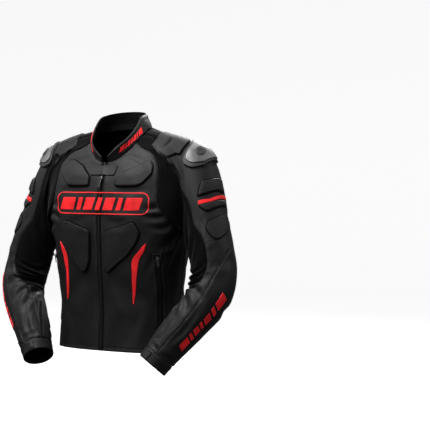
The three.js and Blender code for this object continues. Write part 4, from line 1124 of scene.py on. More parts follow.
def on_band(place, level, mirror=1, lift=0.0):
    """The stretch band behind the neck: 0 at the left sleeve seam, 1 in the middle, 2 at the right."""
    place, level = np.broadcast_arrays(np.asarray(place, float), np.asarray(level, float))
    rim = edge_angle(level, True)
    share = np.where(place < 1, place, 2 - place)
    angle = (rim + (np.pi - rim) * share) * np.where(place < 1, 1, -1)
    return on_torso(angle, level, mirror, lift)


def on_side(turn, level, mirror=1, lift=0.0):
    turn, level = np.broadcast_arrays(np.asarray(turn, float), np.asarray(level, float))
    return on_torso(np.radians(turn), level, mirror, lift)


# The line round each pad's foot, its normals and its side.
OUTLINES = {}


def keep_outline(name, base, normal, mirror=1):
    edges = [(0, slice(None)), (slice(None), -1), (-1, slice(None, None, -1)), (slice(None, None, -1), 0)]
    OUTLINES[name] = (*(np.concatenate([grid[key][:-1] for key in edges]) for grid in (base, normal)), mirror)


def strip_piece(name, place, table, height, mirror=1, flip=False, scale=(1.0, 1.0), cell=3.0, bevel=4.0,
                corner=5.0, lift=0.3, crown=0.0, relief=None, edge=0.5, straight=False):
    """A pad or strip on a surface. Each row of the table is a place along it and its two sides there.

    scale is how many millimetres a step along and a step across are. The piece rises from edge at its
    rim to height inside its bevel, and to height + crown in its middle.
    """
    table = np.array(sorted(table), float)
    first, last = table[0, 0], table[-1, 0]
    length = (last - first) * scale[0]
    near = np.array([0, 0.08, 0.25, 0.5, 0.8, 1.15]) * bevel
    at = first + (last - first) * spaced_shares(length, cell, near)
    if straight:
        # Straight sides, their corners rounded over a few millimetres.
        low, high = (sum(np.interp(at + step / scale[0], table[:, 0], table[:, k])
                         for step in (-3, -1, 1, 3)) / 4 for k in (1, 2))
    else:
        rows = smooth_rows(table, at)
        low, high = rows[:, 1], rows[:, 2]
    width = (high - low) * scale[1]
    from_end = np.minimum(at - first, last - at) * scale[0]
    radius = np.minimum(corner, 0.45 * width)
    inset = radius - np.sqrt(np.maximum(radius**2 - (radius - np.minimum(from_end, radius))**2, 0))
    low, high = low + inset / scale[1], high - inset / scale[1]
    share = spaced_shares(width.max(), cell, near)
    across = low[:, None] + (high - low)[:, None] * share
    along = at[:, None] + 0 * across
    spots = (along, across) if flip else (across, along)
    base, normal = place(*spots, mirror, lift)
    down, over = arc(base, 0), arc(base, 1)
    from_end, from_side = from_ends(down, 0), from_ends(over, 1)
    away = np.minimum(from_end, from_side)
    profile = quarter_round(away / bevel)
    rise = edge + (height - edge) * profile
    if crown:
        middle = from_end / down[-1:].max() * 2 * from_side / over.max() * 2
        rise = rise + crown * smoothstep(np.clip(middle * 1.6, 0, 1)) * profile
    if relief:
        rise = rise + relief(*spots, away)
    keep_outline(name, base, normal, mirror)
    return wall_object(name, base + normal * rise[..., None], base, mirror, sharp=35)


CHEST_PAD = {
    "left": [(44, -147, -143), (49, -151, -132), (57, -152, -120), (104, -151, -97), (118, -146, -88),
             (129, -134, -83), (139, -118, -101)],
    "right": [(36, -149, -129), (40, -151, -125), (68, -152, -98), (101, -151, -83), (120, -133, -82),
              (134, -118, -84), (141, -109, -98)],
}
BODY_PAD = {
    "left": [(-247, 96, 103), (-270, 22, 117), (-279, 16, 116), (-300, 15, 107), (-330, 15, 86),
             (-362, 16, 47), (-378, 22, 29)],
    "right": [(-246, 98, 108), (-256, 68, 115), (-268, 30, 118), (-278, 27, 120), (-304, 27, 118),
              (-350, 29, 82), (-370, 36, 63), (-380, 46, 54)],
}
FRONT_BLADE = {
    "left": [(-300, 131, 133), (-320, 114, 127), (-343, 96, 114), (-376, 93, 107), (-425, 92, 101),
             (-462, 92, 95)],
    "right": [(-302, 130, 132), (-322, 114, 126), (-346, 105, 119), (-396, 104, 114), (-430, 109, 117),
              (-460, 116, 119)],
}
BACK_BLADE = [(-210, 119, 121), (-238, 127, 137), (-268, 139, 153), (-300, 137, 152), (-350, 127, 138),
              (-412, 115, 117)]
RIB_PANEL = [(-52, 112, 130), (-80, 111, 147), (-120, 112, 153), (-185, 124, 166), (-238, 156, 176)]
COLLAR_TAB = [(-97, -46, 42), (-123, -37, 38)]
NECK_BAND = [(7.62, 0.9, 1.1), (7.78, 0.7, 1.3), (8.15, 0.36, 1.64), (8.3, 0.18, 1.82),
             (8.6, 0.03, 1.97), (8.95, 0.03, 1.97)]
YOKE_PAD = [(8, -0.84, -0.72), (36, -0.9, -0.665), (60, -0.9, -0.625), (89, -0.885, -0.585),
            (101, -0.872, -0.635), (113, -0.866, -0.72), (125, -0.86, -0.79)]
SHOULDER_RIM = [(-0.68, -2, 14), (-0.6, -26, 50), (-0.54, -38, 84), (-0.48, -41, 94), (-0.37, -30, 71),
                (-0.32, -14, 42)]
SHOULDER_PLATE = [(-0.65, 0, 14), (-0.58, -20, 50), (-0.52, -29, 79), (-0.47, -31, 79), (-0.4, -24, 66),
                  (-0.35, -8, 40)]
ARM_PAD = [(-4, -0.155, -0.075), (12, -0.163, -0.08), (40, -0.182, -0.097), (59, -0.217, -0.116),
           (66, -0.18, -0.128), (73, -0.148, -0.138)]
ARM_BLOCK = [(-2, -0.027, 0.0), (12, -0.027, 0.01), (37, -0.035, 0.023), (55, -0.047, 0.0),
             (64, -0.06, -0.017), (73, -0.076, -0.064)]
ARM_STRIPE = [(-13, -0.055, -0.033), (0, -0.057, -0.035), (25, -0.056, -0.036), (46, -0.062, -0.042),
              (60, -0.083, -0.058), (76, -0.11, -0.08)]
ARM_SHIELD = [(0.33, 2, 58), (0.38, -2, 65), (0.45, -2, 69), (0.61, 1, 66), (0.75, 9, 62), (0.89, 19, 56),
              (0.98, 42, 50)]
CAP_MM = 130.0
# Near the foot of the cap a row spans far more cloth.
CAP_FOOT_MM = 330.0


def rib_relief(x, z, away):
    slanted = z * 0.94 + x * 0.34
    return 0.8 * (0.5 - 0.5 * np.cos(2 * np.pi * slanted / 5.5)) * smoothstep((away - 1.5) / 4)


def slit_relief(turn, row, _away):
    """The slit in the yoke pad."""
    u, v = turn * TURN_MM, row * CAP_MM
    slit = along_path(u, v, [(70 * TURN_MM, -0.77 * CAP_MM), (99 * TURN_MM, -0.752 * CAP_MM)])[0]
    return -3.0 * np.exp(-(slit / 1.5) ** 2)


def beside_outline(name, away, rounds, lift=0.0):
    """A line at a distance outside a pad's outline, its sharp corners rounded off."""
    rim, normal, mirror = OUTLINES[name]
    ahead = unit(np.roll(rim, -1, axis=0) - np.roll(rim, 1, axis=0))
    across = unit(np.cross(ahead, normal))
    if (across * (rim - rim.mean(0))).sum() < 0:
        across = -across
    path = rim + across * away + normal * lift
    for _ in range(rounds):
        path = (path + np.roll(path, 1, axis=0) + np.roll(path, -1, axis=0)) / 3
    return path, normal, across, mirror


def shadow_edging(name, wide=4.2, high=1.3):
    """A thin near-black strip laid all round a pad: painted shadow along the gap at the pad's foot."""
    path, normal, across, mirror = beside_outline(name, 1.5, 2)
    shares = np.array([-1, -0.8, -0.4, 0, 0.4, 0.8, 1])
    heights = np.array([0.0, 0.55, 0.9, 1, 0.9, 0.55, 0.0]) * high
    base = path[None] + across[None] * (shares * wide / 2)[:, None, None]
    outer = base + normal[None] * heights[:, None, None]
    piece = wall_object(name.replace("_form", "") + "_edging", outer, base - normal[None] * 0.4, mirror,
                        ring=True, sharp=60)
    dress(piece, "edge")


ARM_FOOT = {"flip": True, "scale": (TURN_MM, CAP_FOOT_MM)}
for mirror in (1, -1):
    side = "_" + side_name(mirror)
    pick = side_name(mirror)
    for name, place, rows, height, options in (
            ("chest_pad", on_front, CHEST_PAD[pick], 6.0,
             {"flip": True, "bevel": 2.6, "corner": 3, "crown": 0.7}),
            ("body_pad", on_front, BODY_PAD[pick], 7.0, {"bevel": 3.0, "corner": 2.5, "crown": 1.2}),
            ("yoke_pad", on_sleeve, YOKE_PAD, 4.5,
             {"flip": True, "scale": (TURN_MM, CAP_MM), "bevel": 2.4, "corner": 2, "relief": slit_relief,
              "cell": 2.0}),
            ("arm_pad", on_sleeve, ARM_PAD, 5.0, {**ARM_FOOT, "bevel": 3, "corner": 2, "crown": 0.8}),
            ("arm_shield", on_sleeve, ARM_SHIELD, 2.6,
             {"scale": (68, TURN_MM), "bevel": 2, "corner": 3, "lift": 0.5, "crown": 0.6}),
            ("arm_block", on_sleeve, ARM_BLOCK, 3.6, {**ARM_FOOT, "bevel": 3, "corner": 2, "crown": 0.5})):
        piece = strip_piece(name + side + "_form", place, rows, height, mirror, straight=True, **options)
        # The block is a detail of the scene alone.
        dress(piece, "pad", node=None if name == "arm_block" else name + side)
        # A near-black strip round the pad's foot: painted shadow.
        shadow_edging(name + side + "_form")
    for name, place, rows, height, look, options in (
            ("blade_front", on_front, FRONT_BLADE[pick], 1.7, "red",
             {"bevel": 1.6, "corner": 2, "edge": 0.6}),
            ("blade_back", on_back, BACK_BLADE, 1.7, "red", {"bevel": 1.6, "corner": 3, "edge": 0.6}),
            ("arm_stripe", on_sleeve, ARM_STRIPE, 1.6, "red", {**ARM_FOOT, "bevel": 1.2, "corner": 1.5}),
            ("shoulder_rim", on_sleeve, SHOULDER_RIM, 5.6, "rubber",
             {"scale": (CAP_MM, TURN_MM), "bevel": 3.0, "corner": 3, "lift": 0.6, "straight": True}),
            ("shoulder_plate", on_sleeve, SHOULDER_PLATE, 3.2, "plate",
             {"scale": (CAP_MM, TURN_MM), "bevel": 1.4, "corner": 2.5, "lift": 5.9, "crown": 1.5,
              "cell": 2.0, "straight": True}),
            ("waist_tab", on_side, [(0.88, 93, 110), (0.14, 93, 110)], 3.2, "leather",
             {"scale": (62, 3.0), "bevel": 2, "corner": 6, "crown": 0.6})):
        piece = strip_piece(name + side + "_form", place, rows, height, mirror, **options)
        dress(piece, look, node=name + side)
    piece = strip_piece("rib_panel" + side + "_form", on_back, RIB_PANEL, 1.7, mirror, cell=1.25,
                        bevel=2, corner=12, relief=rib_relief, lift=0.2)
    dress(piece, "ribbed", "rib_panel" + side)


def build_hump():
    """The speed hump: a rounded body over a rim with a groove inside it."""
    z = crowd(HUMP[0, 0], HUMP[-1, 0], 4.0, (0, 0.6, 1.6, 3, 5))[:, None]
    half, up = hump_at(z)
    from_top = z[-1] - z
    half = half - (9 - np.sqrt(np.maximum(81 - (9 - np.minimum(from_top, 9)) ** 2, 0)))
    share = np.concatenate([[-1, -0.985, -0.96, -0.92], np.linspace(-0.86, 0.86, 41),
                            [0.92, 0.96, 0.985, 1]])[None, :]
    base, normal = on_back(half * share, z + 0 * share, 1, HUMP_LIFT)
    away = np.minimum(from_ends(arc(base, 0), 0), from_ends(arc(base, 1), 1))
    body = up * (1 - share ** 2) ** 0.8 * smoothstep(np.minimum(from_top, 22) / 22 + 0.45)
    rim_groove = -0.9 * np.exp(-((away - 6.5) / 1.3) ** 2)
    rise = 0.5 + 1.5 * quarter_round(away / 3) + body + rim_groove + 0.3 * waves(base, 40, 61)
    piece = wall_object("back_hump_form", base + normal * rise[..., None], base)
    dress(piece, "pad", node="back_hump")
    keep_outline("back_hump_form", base, normal)


BADGE_Z, BADGE_RADIUS = -134, 61


def build_badge():
    """A round rubber badge: plain rings round a field of radial ribs."""
    radii = np.concatenate([np.linspace(4, 60, 57), [60.6, BADGE_RADIUS]])
    turn = np.linspace(0, 2 * np.pi, 240, endpoint=False)
    r, t = np.meshgrid(radii, turn, indexing="ij")
    ring = np.zeros_like(r)
    for middle, width, height in ((57, 3.2, 1.0), (50.5, 1.0, 0.6), (21, 1.2, 0.8), (8, 4.5, 0.7)):
        ring += height * smoothstep((width - np.abs(r - middle)) / 1.0)
    ribs = 0.55 * (0.5 + 0.5 * np.cos(40 * t)) * smoothstep(np.minimum(r - 24, 48 - r) / 1.5)
    arcs = 0.35 * (0.5 + 0.5 * np.cos(2 * np.pi * r / 3.2)) * smoothstep(np.minimum(r - 12, 19 - r))
    edge = smoothstep((BADGE_RADIUS - r) / 0.8)
    height = 0.5 + 0.6 * edge + (ring + ribs + arcs) * edge
    base, normal = on_hump(r * np.cos(t), BADGE_Z + r * np.sin(t), 1, 0.15)
    piece = disc_object("back_badge_form", base + normal * height[..., None], base, sharp=50)
    dress(piece, "rubber", node="back_badge")


PLATE_TOP = 5.9 + 3.2 + 1.2


def build_plate_disc(mirror):
    """A dark disc with a plain ring on the shoulder plate."""
    radii = np.array([0.5, 3, 5, 6.6, 7.2, 8.6, 9.2, 11.6, 12.2, 13.2])
    heights = np.array([0.6, 0.6, 0.6, 0.6, 1.1, 1.1, 0.6, 0.6, 0.95, 0.3])
    turn, row = 38.0, -0.47
    steps = on_sleeve(np.array([turn, turn + 1, turn]), np.array([row, row, row + 0.01]), 1)[0]
    per_turn = np.linalg.norm(steps[1] - steps[0])
    per_row = np.linalg.norm(steps[2] - steps[0]) / 0.01
    around = np.linspace(0, 2 * np.pi, 60, endpoint=False)
    r, t = np.meshgrid(radii, around, indexing="ij")
    spots = (turn + r * np.cos(t) / per_turn, row + r * np.sin(t) / per_row)
    base, normal = on_sleeve(*spots, mirror, PLATE_TOP)
    outer = base + normal * heights[:, None, None]
    dress(disc_object("plate_disc_" + side_name(mirror), outer, base - normal * 1.5, mirror), "rubber")


for mirror in (1, -1):
    build_plate_disc(mirror)
build_hump()
# A near-black strip round the hump's foot: painted shadow.
shadow_edging("back_hump_form", 3.0, 1.0)
build_badge()

band = strip_piece("neck_band_back_form", on_band, NECK_BAND, 1.4, scale=(34, 140), cell=3.0, bevel=1.2,
                   corner=3, lift=1.2, edge=0.4)
dress(band, "stretch", node="neck_band_back")
tab = strip_piece("collar_tab_form", on_front, COLLAR_TAB, 2.9, bevel=2, corner=5, crown=0.5, cell=2.5)
dress(tab, "leather", node="collar_tab")


# ---------- stitches ----------

STITCHES = []
STITCH_PITCH, STITCH_LENGTH, STITCH_WIDTH, STITCH_HEIGHT = 4.0, 2.7, 0.75, 0.4
STITCH_FACES = [(0, 2, 1), (0, 3, 2), (0, 4, 3), (0, 1, 4), (1, 2, 6, 5), (2, 3, 7, 6), (3, 4, 8, 7),
                (4, 1, 5, 8), (5, 6, 9), (6, 7, 9), (7, 8, 9), (8, 5, 9)]
STITCH_POINTS = 10


def stitch_along(path, normals, mirror=1, closed=False):
    """A row of stitches: short threads, thinner at both ends."""
    path, normals = np.asarray(path, float), np.asarray(normals, float)
    if closed:
        path, normals = np.concatenate([path, path[:1]]), np.concatenate([normals, normals[:1]])
    run = run_of(path)
    count = int(run[-1] // STITCH_PITCH)
    if count < 1:
        return
    starts = (np.arange(count) + 0.5) * run[-1] / count - STITCH_LENGTH / 2
    begin, end = at_run(starts, run, path), at_run(starts + STITCH_LENGTH, run, path)
    out = unit(at_run(starts + STITCH_LENGTH / 2, run, normals))
    across = np.cross(unit(end - begin), out) * STITCH_WIDTH / 2
    low, high = -out * 0.35, out * STITCH_HEIGHT
    rows = [begin + low * 0.5]
    for share in (0.22, 0.78):
        spot = begin + (end - begin) * share
        rows += [spot - across + low * 0.2, spot + high, spot + across + low * 0.2, spot + low]
    rows.append(end + low * 0.5)
    points = np.stack(rows, 1)
    if mirror < 0:
        points = points * [-1, 1, 1]
    STITCHES.append((points, mirror))


def build_stitches():
    """All the stitches so far, in one mesh."""
    points, faces = [], []
    for block, mirror in STITCHES:
        for stitch in block:
            start = STITCH_POINTS * len(points)
            points.append(stitch)
            faces += [tuple(k + start for k in (face[::-1] if mirror < 0 else face)) for face in STITCH_FACES]
    dress(make_object("topstitching", np.concatenate(points), faces, sharp=60), "thread")


def outline_stitches(name, away=2.2):
    path, normal, _, mirror = beside_outline(name, away, 3, 0.15)
    stitch_along(path, normal, mirror, closed=True)


def grid_stitches(node, sides, ends):
    """Stitches along lines of a panel's grid: down it beside its sides, across it beside its ends."""
    outer, normal, mirror = GRIDS[node]
    for key in [(slice(None), k) for k in sides] + [(k,) for k in ends]:
        stitch_along(outer[key][3:-3], normal[key][3:-3], mirror)


def stitch_everything():
    for side in ("_left", "_right"):
        for node, ends in (("front", (4, -4)), ("back", (3,)), ("sleeve_top", (3,)), ("sleeve_back", (-4,)),
                           ("forearm_outer", (-4,)), ("forearm_under", (3, -4))):
            grid_stitches(node + side, (3, -4), ends)
        grid_stitches("cuff" + side, (), (-5, 3))
        for name in ("chest_pad", "body_pad", "yoke_pad", "shoulder_rim", "arm_pad", "arm_shield",
                     "rib_panel"):
            outline_stitches(name + side + "_form")
        outline_stitches("waist_tab" + side + "_form", -2.5)
    outline_stitches("back_hump_form")
    outline_stitches("collar_tab_form", -3.0)
    for mirror in (1, -1):
        path, across = arm_line(FOREARM_SEAM)
        for away in (-2.6, 2.6):
            spots = path + across * away
            stitch_along(*on_arm(spots[:, 0], spots[:, 1], mirror, 0.1), mirror)
    grid_stitches("waistband_back", (), (4, -4, -5))
    grid_stitches("collar", (), (3, 11))
    build_stitches()


# ---------- zips ----------


def tooth(origin, across, along, out, wide, long, high, reach):
    """One zip tooth: a small block with a thicker head."""
    shape = []
    for w, l0, h in ((0, long * 0.75, high * 0.8), (wide * 0.62, long * 0.8, high), (wide * 0.8, long, high),
                     (wide, long * 0.85, high * 0.8)):
        for sign_l, up in ((-1, 0), (1, 0), (1, 1), (-1, 1)):
            shape.append(origin + across * (w - reach) + along * sign_l * l0 / 2 + out * (up * h - 0.25))
    faces = [(0, 1, 2, 3)[::-1], (12, 13, 14, 15)]
    for k in range(3):
        for j in range(4):
            a, b = 4 * k + j, 4 * k + (j + 1) % 4
            faces.append((a, b, b + 4, a + 4))
    return np.array(shape), faces


def zip_teeth(name, path, normals, mirror=1, pitch=1.6, wide=2.6, high=1.0, stay=0.8):
    """Two rows of teeth that meet on a path, each standing off it by stay."""
    run = run_of(path)
    blocks = []
    for k, place in enumerate(np.arange(2.0, run[-1] - 2.0, pitch)):
        spot, after = at_run(place, run, path), at_run(place + 0.5, run, path)
        out = unit(at_run(place, run, normals))
        along = unit(after - spot)
        across = unit(np.cross(along, out)) * (1 if k % 2 else -1)
        block, faces = tooth(spot + out * stay, across, along, out, wide, pitch * 0.62, high, 2.3)
        if k % 2 == 0:
            faces = [face[::-1] for face in faces]
        blocks.append((block, faces))
    dress(joined_blocks(name, blocks, mirror), "teeth")


def build_main_zip():
    level = level_heights(0, NECK, 4.0)
    x = np.array([-13, -9, -7.4, -5.2, -3.4, -2.6, 0, 2.6, 3.4, 5.2, 7.4, 9, 13])
    x, level = np.broadcast_arrays(x[None, :], level[:, None])
    angle = np.sign(x) * angle_at(np.abs(x), level)
    base, normal = torso_point(angle, level), torso_normal(angle, level)
    rise = -1.1 + 0.35 * np.exp(-(x / 3.0) ** 4) - 3.2 * smoothstep((np.abs(x) - 5) / 3.5)
    piece = wall_object("main_zip_tape", base + normal * rise[..., None],
                        base + normal * (rise - 0.9)[..., None])
    dress(piece, "ribbed", "main_zip")
    level = level_heights(0, NECK, 6.0)
    path, normals = torso_point(0, level), torso_normal(0, level)
    zip_teeth("main_zip_teeth", path, normals, 1, 1.75, 3.0, 1.15, -0.75)


def slider_frame(x, z, height):
    """The frame a slider stands in: X across its zip, Y up along it and Z out from it."""
    spots = [torso_place(np.array([x]), np.array([height_z])) for height_z in (z, z + 5)]
    point, ahead = (torso_point(*spot)[0] for spot in spots)
    out = torso_normal(*spots[0])[0]
    across = unit(np.cross(ahead - point, out))
    along = np.cross(out, across)
    made = Matrix.Identity(4)
    for k, column in enumerate((across, along, out, (point + out * height) * MM)):
        for j in range(3):
            made[j][k] = column[j]
    return made


def bevelled(source, name, look, body, move=None):
    """A CAD part with its edges rounded. One that is moved is a second use of it, and replaces nothing."""
    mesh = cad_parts[source].data.copy()
    piece = add_object(name, mesh)
    if move is not None:
        mesh.transform(move)
    bm = bmesh.new()
    bm.from_mesh(mesh)
    bmesh.ops.remove_doubles(bm, verts=bm.verts, dist=0.00002)
    bmesh.ops.dissolve_limit(bm, angle_limit=math.radians(2), verts=bm.verts, edges=bm.edges)
    sharp = [edge for edge in bm.edges if edge.is_manifold and edge.calc_face_angle(0) > math.radians(25)]
    bmesh.ops.bevel(bm, geom=sharp, offset=0.28 * MM, segments=2, profile=0.6, affect="EDGES",
                    clamp_overlap=True)
    bm.to_mesh(mesh)
    bm.free()
    mesh.polygons.foreach_set("use_smooth", [True] * len(mesh.polygons))
    mesh.set_sharp_from_angle(angle=math.radians(40))
    mesh.materials.clear()
    mesh.materials.append(LOOKS[look])
    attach(piece, body)
    if move is None:
        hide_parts(source)


def rounded_box(middle, half, radius, count=8):
    """A closed line: a box with round corners."""
    loop = []
    for sx, sz, start in ((1, 1, 0), (-1, 1, 90), (-1, -1, 180), (1, -1, 270)):
        cx, cz = sx * (half[0] - radius), sz * (half[1] - radius)
        for turn in np.radians(start + np.linspace(0, 90, count)):
            loop.append((middle[0] + cx + radius * math.cos(turn), middle[1] + cz + radius * math.sin(turn)))
    return loop


def build_cord_ring(name, place, loop, wide, high, look, mirror=1, lift=0.1):
    """A flat rounded strip along a closed line on a surface."""
    loop = np.array(loop, float)
    closed = np.concatenate([loop, loop[:1]])
    run = run_of(closed)
    spots = at_run(np.linspace(0, run[-1], int(run[-1] / 3.0), endpoint=False), run, closed)
    ahead = np.roll(spots, -1, axis=0) - np.roll(spots, 1, axis=0)
    ahead /= np.linalg.norm(ahead, axis=1, keepdims=True)
    across = np.stack([ahead[:, 1], -ahead[:, 0]], -1)
    shares = np.array([-1, -0.85, -0.5, 0, 0.5, 0.85, 1])
    heights = np.array([0.25, 0.65, 0.95, 1, 0.95, 0.65, 0.25]) * high
    grid = spots[None] + across[None] * (shares * wide / 2)[:, None, None]
    base, normal = place(grid[..., 0], grid[..., 1], mirror, lift)
    outer = base + normal * heights[:, None, None]
    dress(wall_object(name, outer, base, mirror, ring=True, sharp=50), look)


# A narrow zip: the lines along its tape, by distance from its middle.
TAPE_LINES = np.array([-5.5, -5.0, -4, -2.6, -1.3, 0, 1.3, 2.6, 4, 5.0, 5.5])
POCKET_X, POCKET_TOP, POCKET_END = 154, -332, -518
CUFF_ZIP = [(165, 4.95), (152, 6.0), (144, 7.8)]


def narrow_tape(name, node, base, normal, away, mirror):
    rise = 0.55 + 0.45 * np.exp(-(away / 2.8) ** 4)
    piece = wall_object(name, base + normal * rise[..., None], base, mirror)
    dress(piece, "ribbed", node)


def build_pocket_zip(mirror):
    """A pocket's tape, its teeth and the welt of leather all round the opening."""
    side = "_" + side_name(mirror)
    z = crowd(POCKET_END, POCKET_TOP, 4.0, (0, 0.5, 1.5, 3, 5))
    x, z = np.broadcast_arrays((POCKET_X + TAPE_LINES)[None, :], z[:, None])
    base, normal = on_front(x, z, mirror, 0.2)
    narrow_tape("pocket_tape" + side, "pocket_zip" + side, base, normal, x - POCKET_X, mirror)
    path, normals = on_front(np.full(60, POCKET_X), np.linspace(POCKET_END, POCKET_TOP, 60), mirror, 0.2)
    zip_teeth("pocket_teeth" + side, path, normals, mirror)
    welt = rounded_box((POCKET_X, (POCKET_END + POCKET_TOP) / 2),
                       (7.6, (POCKET_TOP - POCKET_END) / 2 + 2.6), 4.0, 7)
    build_cord_ring("pocket_welt" + side, on_front, welt, 3.4, 1.5, "pad", mirror, 0.15)


def build_cuff_zip(mirror):
    """The same at the wrist, on a bent line."""
    side = "_" + side_name(mirror)
    path, across = arm_line(CUFF_ZIP)
    grid = path[:, None] + across[:, None] * TAPE_LINES[None, :, None]
    base, normal = on_arm(grid[..., 0], grid[..., 1], mirror, 0.2)
    narrow_tape("cuff_tape" + side, "cuff_zip" + side, base, normal, TAPE_LINES[None, :], mirror)
    zip_teeth("cuff_teeth" + side, *on_arm(path[:, 0], path[:, 1], mirror, 0.2), mirror)
    welt = np.concatenate([path + across * 7.4, (path - across * 7.4)[::-1]])
    build_cord_ring("cuff_welt" + side, on_arm, welt, 3.2, 1.4, "pad", mirror, 0.15)


def build_cuff_tab(mirror):
    """The small strap at the outer edge of the cuff."""
    piece = strip_piece("cuff_tab_" + side_name(mirror), on_sleeve, [(8.12, 84, 108), (8.9, 84, 108)], 2.4,
                        mirror, scale=(32, TURN_MM), bevel=1.6, corner=3, crown=0.5)
    dress(piece, "leather")


for mirror in (1, -1):
    build_pocket_zip(mirror)
build_main_zip()
bevelled("zip_slider", "slider_body", "gunmetal", "jacket")
bevelled("zip_pull", "pull_tab", "gunmetal", "zip_pull")
MAIN_SLIDER = slider_frame(0, -133, 0.5)
for mirror in (1, -1):
    side = "_" + side_name(mirror)
    flip = Matrix.Diagonal((mirror, 1, 1, 1))
    to_pocket = flip @ slider_frame(POCKET_X, POCKET_TOP - 10, 1.95) @ MAIN_SLIDER.inverted()
    bevelled("zip_slider", "pocket_slider" + side, "metal", "jacket", to_pocket)
    bevelled("pocket_pull" + side, "pocket_tab" + side, "metal", "pocket_pull" + side)
for mirror in (1, -1):
    build_cuff_zip(mirror)
    build_cuff_tab(mirror)


# ---------- red bars, in the places of the coloured marks ----------

def bars(name, place, origin, ahead, up, widths, gap, tall, slant, high=1.0, mirror=1, lift=0.1):
    """A row of slanted bars on a surface. ahead and up are steps in the surface's own measures for 1 mm."""
    origin, ahead, up = (np.asarray(v, float) for v in (origin, ahead, up))
    start = -(sum(widths) + gap * (len(widths) - 1)) / 2
    near = (0, 0.35, 0.9, 1.6)
    blocks = []
    for width in widths:
        s = start + width * spaced_shares(width, 3.0, near)
        t = tall * (spaced_shares(tall, 3.0, near) - 0.5)
        t, s = np.meshgrid(t, s, indexing="ij")
        run = s + slant * t
        spots = origin + run[..., None] * ahead + t[..., None] * up
        base, normal = place(spots[..., 0], spots[..., 1], mirror, lift)
        edge = np.minimum(np.minimum(s - s.min(), s.max() - s), np.minimum(t - t.min(), t.max() - t))
        rise = 0.3 + (high - 0.3) * quarter_round(edge / 0.9)
        points, faces = wall_parts(base + normal * rise[..., None], base)
        blocks.append((points, faces.tolist()))
        start += width + gap
    dress(joined_blocks(name, blocks, mirror, 50), "red")


build_cord_ring("chest_outline", on_front, rounded_box((1.5, -197), (138.5, 28), 18), 3.0, 1.1, "red")
bars("chest_bars", on_front, (0, -198.5), (1, 0), (0, 1), (44, 14, 29, 14, 29, 14, 44), 9.0, 33, 0.3)
for mirror in (1, -1):
    side = "_" + side_name(mirror)
    middle = (21 * TURN_MM, 266) if mirror > 0 else (32 * TURN_MM, 250)
    bars("forearm_bars" + side, on_arm, middle, (0, -1), (1, 0), (30, 9, 19, 9, 19, 9, 26),
         5.5, 22, 0.3, mirror=mirror)
    bars("collar_bars" + side, on_collar, (math.radians(50), 0.43), (0.0098, -0.0022), (0, 1 / 36),
         (14, 5, 9, 5, 9, 5, 14), 3.2, 14, 0.25, high=0.8, mirror=mirror)

patch = strip_piece("waist_patch", on_back, [(-593, -86, 86), (-558, -86, 86)], 1.2, bevel=1.0, corner=10,
                    edge=0.4, lift=0.2)
dress(patch, "pad")
bars("waist_bars", on_back, (0, -575.5), (-1, 0), (0, 1), (26, 8, 17, 8, 17, 8, 26), 6.0, 22, 0.3, lift=1.25)


# ---------- inside: tapes over the seams ----------

# Each edge of a panel's grid, and a line a little way in from it.
EDGE_LINES = {"first": ((slice(None), 0), (slice(None), 2)), "last": ((slice(None), -1), (slice(None), -3)),
              "start": (0, 2), "end": (-1, -3), "foot": (0, 3)}


def seam_tape(name, node, line, wide=7.0, deep=4.4):
    """A tape sewn inside over a seam: from under this panel to under the next one."""
    outer, normal, mirror = GRIDS[node]
    edge, inside = (outer[key] for key in EDGE_LINES[line])
    away = normal[EDGE_LINES[line][0]]
    shares = np.array([-1, -0.4, 0.4, 1])
    towards = unit(inside - edge)
    outer = edge[None] + towards[None] * (shares * wide)[:, None, None] - away[None] * (deep - 1.7)
    dress(wall_object(name, outer, outer - away[None] * 0.7, mirror), "lining")


for side in ("_left", "_right"):
    for node, lines in (("front", ("last",)), ("back", ("first", "last")),
                        ("sleeve_top", ("first", "last", "end")), ("sleeve_back", ("first", "end")),
                        ("sleeve_stretch", ("end",)), ("elbow_ribs", ("first", "end")),
                        ("forearm_outer", ("first", "last", "end")), ("forearm_under", ("end",)),
                        ("neck_stretch", ("start", "last"))):
        for line in lines:
            seam_tape("tape_" + node + "_" + line + side, node + side, line)
seam_tape("tape_waistband", "waistband_back", "end")
seam_tape("tape_waist_left", "waistband_back", "first")
seam_tape("tape_waist_right", "waistband_back", "last")
seam_tape("tape_collar", "collar", "foot", 8.0, 4.8)

stitch_everything()


# ---------- camera, stage and light ----------

CAMERA_AZIMUTH, CAMERA_DISTANCE, CAMERA_HEIGHT = math.radians(30), 3.0, -0.10
# How far the camera looks to the right of the object's middle and down, as in the photograph.
CAMERA_RIGHT, CAMERA_DOWN = math.radians(4.82), math.radians(2.55)


def build_camera():
    camera = bpy.data.cameras.new("camera")
    camera.sensor_width = 36.0
    camera.lens = 91.0
    camera.clip_end = 60.0
    piece = add_object("camera", camera)
    sin, cos = math.sin(CAMERA_AZIMUTH), math.cos(CAMERA_AZIMUTH)
    piece.location = (sin * CAMERA_DISTANCE, -cos * CAMERA_DISTANCE, CAMERA_HEIGHT)
    level = Vector((-sin, cos, 0)) * math.cos(CAMERA_RIGHT) + Vector((cos, sin, 0)) * math.sin(CAMERA_RIGHT)
    look = level * math.cos(CAMERA_DOWN) - Vector((0, 0, 1)) * math.sin(CAMERA_DOWN)
    piece.rotation_euler = look.to_track_quat("-Z", "Y").to_euler()
    bpy.context.scene.camera = piece


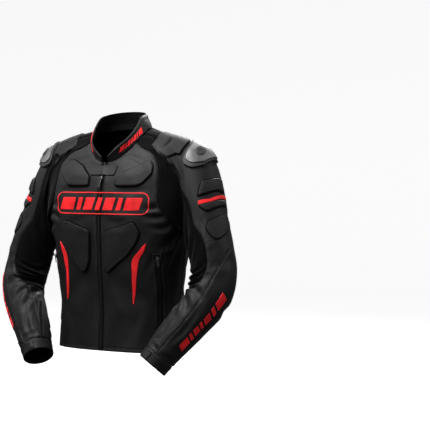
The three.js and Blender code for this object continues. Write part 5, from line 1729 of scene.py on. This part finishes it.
def build_stage():
    """A pale round floor that curves up into a wall all the way round."""
    profile = [(0, -1.35), (3, -1.35), (6, -1.35), (7.2, -1.3), (8.2, -1.1), (9.0, -0.6), (9.4, 0.2),
               (9.5, 1.5), (9.5, 5.0)]
    count = 72
    points = [(r * math.cos(2 * math.pi * k / count), r * math.sin(2 * math.pi * k / count), z)
              for r, z in profile[1:] for k in range(count)]
    points.append((0, 0, profile[0][1]))
    faces = [(len(points) - 1, k, (k + 1) % count) for k in range(count)]
    for ring in range(len(profile) - 2):
        for k in range(count):
            a, b = ring * count + k, ring * count + (k + 1) % count
            faces.append((a, a + count, b + count, b))
    mesh = bpy.data.meshes.new("stage")
    mesh.from_pydata(points, [], faces)
    mesh.polygons.foreach_set("use_smooth", [True] * len(mesh.polygons))
    stage = add_object("stage", mesh)
    material, _, shader, _ = start_material("stage_pale", Roughness=0.95)
    shader.inputs["Base Color"].default_value = (0.9, 0.9, 0.9, 1)
    shader.inputs["Emission Color"].default_value = (1, 1, 1, 1)
    shader.inputs["Emission Strength"].default_value = 0.8
    mesh.materials.append(material)
    # The bright stage is far from the object, so it isn't mirrored in the leather.
    stage.visible_glossy = False
    stage.visible_diffuse = False


LIGHT_AIM = Vector((0, 0, -0.3))


def add_light(name, azimuth, elevation, distance, size, power):
    """A round soft light, placed by its direction from the object."""
    light = bpy.data.lights.new(name, "AREA")
    light.shape, light.size, light.energy = "DISK", size, power
    piece = add_object(name, light)
    turn, up = math.radians(azimuth), math.radians(elevation)
    away = Vector((math.sin(turn) * math.cos(up), -math.cos(turn) * math.cos(up), math.sin(up)))
    piece.location = LIGHT_AIM + away * distance
    piece.rotation_euler = (-away).to_track_quat("-Z", "Y").to_euler()


def build_light():
    world = bpy.data.worlds.new("world")
    world.use_nodes = True
    background = world.node_tree.nodes["Background"]
    background.inputs["Color"].default_value = (1, 1, 1, 1)
    background.inputs["Strength"].default_value = 0.1
    bpy.context.scene.world = world
    for light in (("key", -20, 60, 1.9, 1.2, 53), ("front", 5, 24, 4.6, 2.4, 50),
                  ("side_left", 108, 30, 3.8, 2.6, 38), ("side_right", -80, 32, 3.8, 2.6, 30),
                  ("top", 180, 78, 3.4, 1.4, 24), ("back", 185, 42, 4.0, 1.8, 190),
                  ("back_side", -140, 20, 4.0, 1.4, 50)):
        add_light(*light)


build_camera()
build_stage()
build_light()
bpy.context.scene.view_settings.view_transform = "Standard"
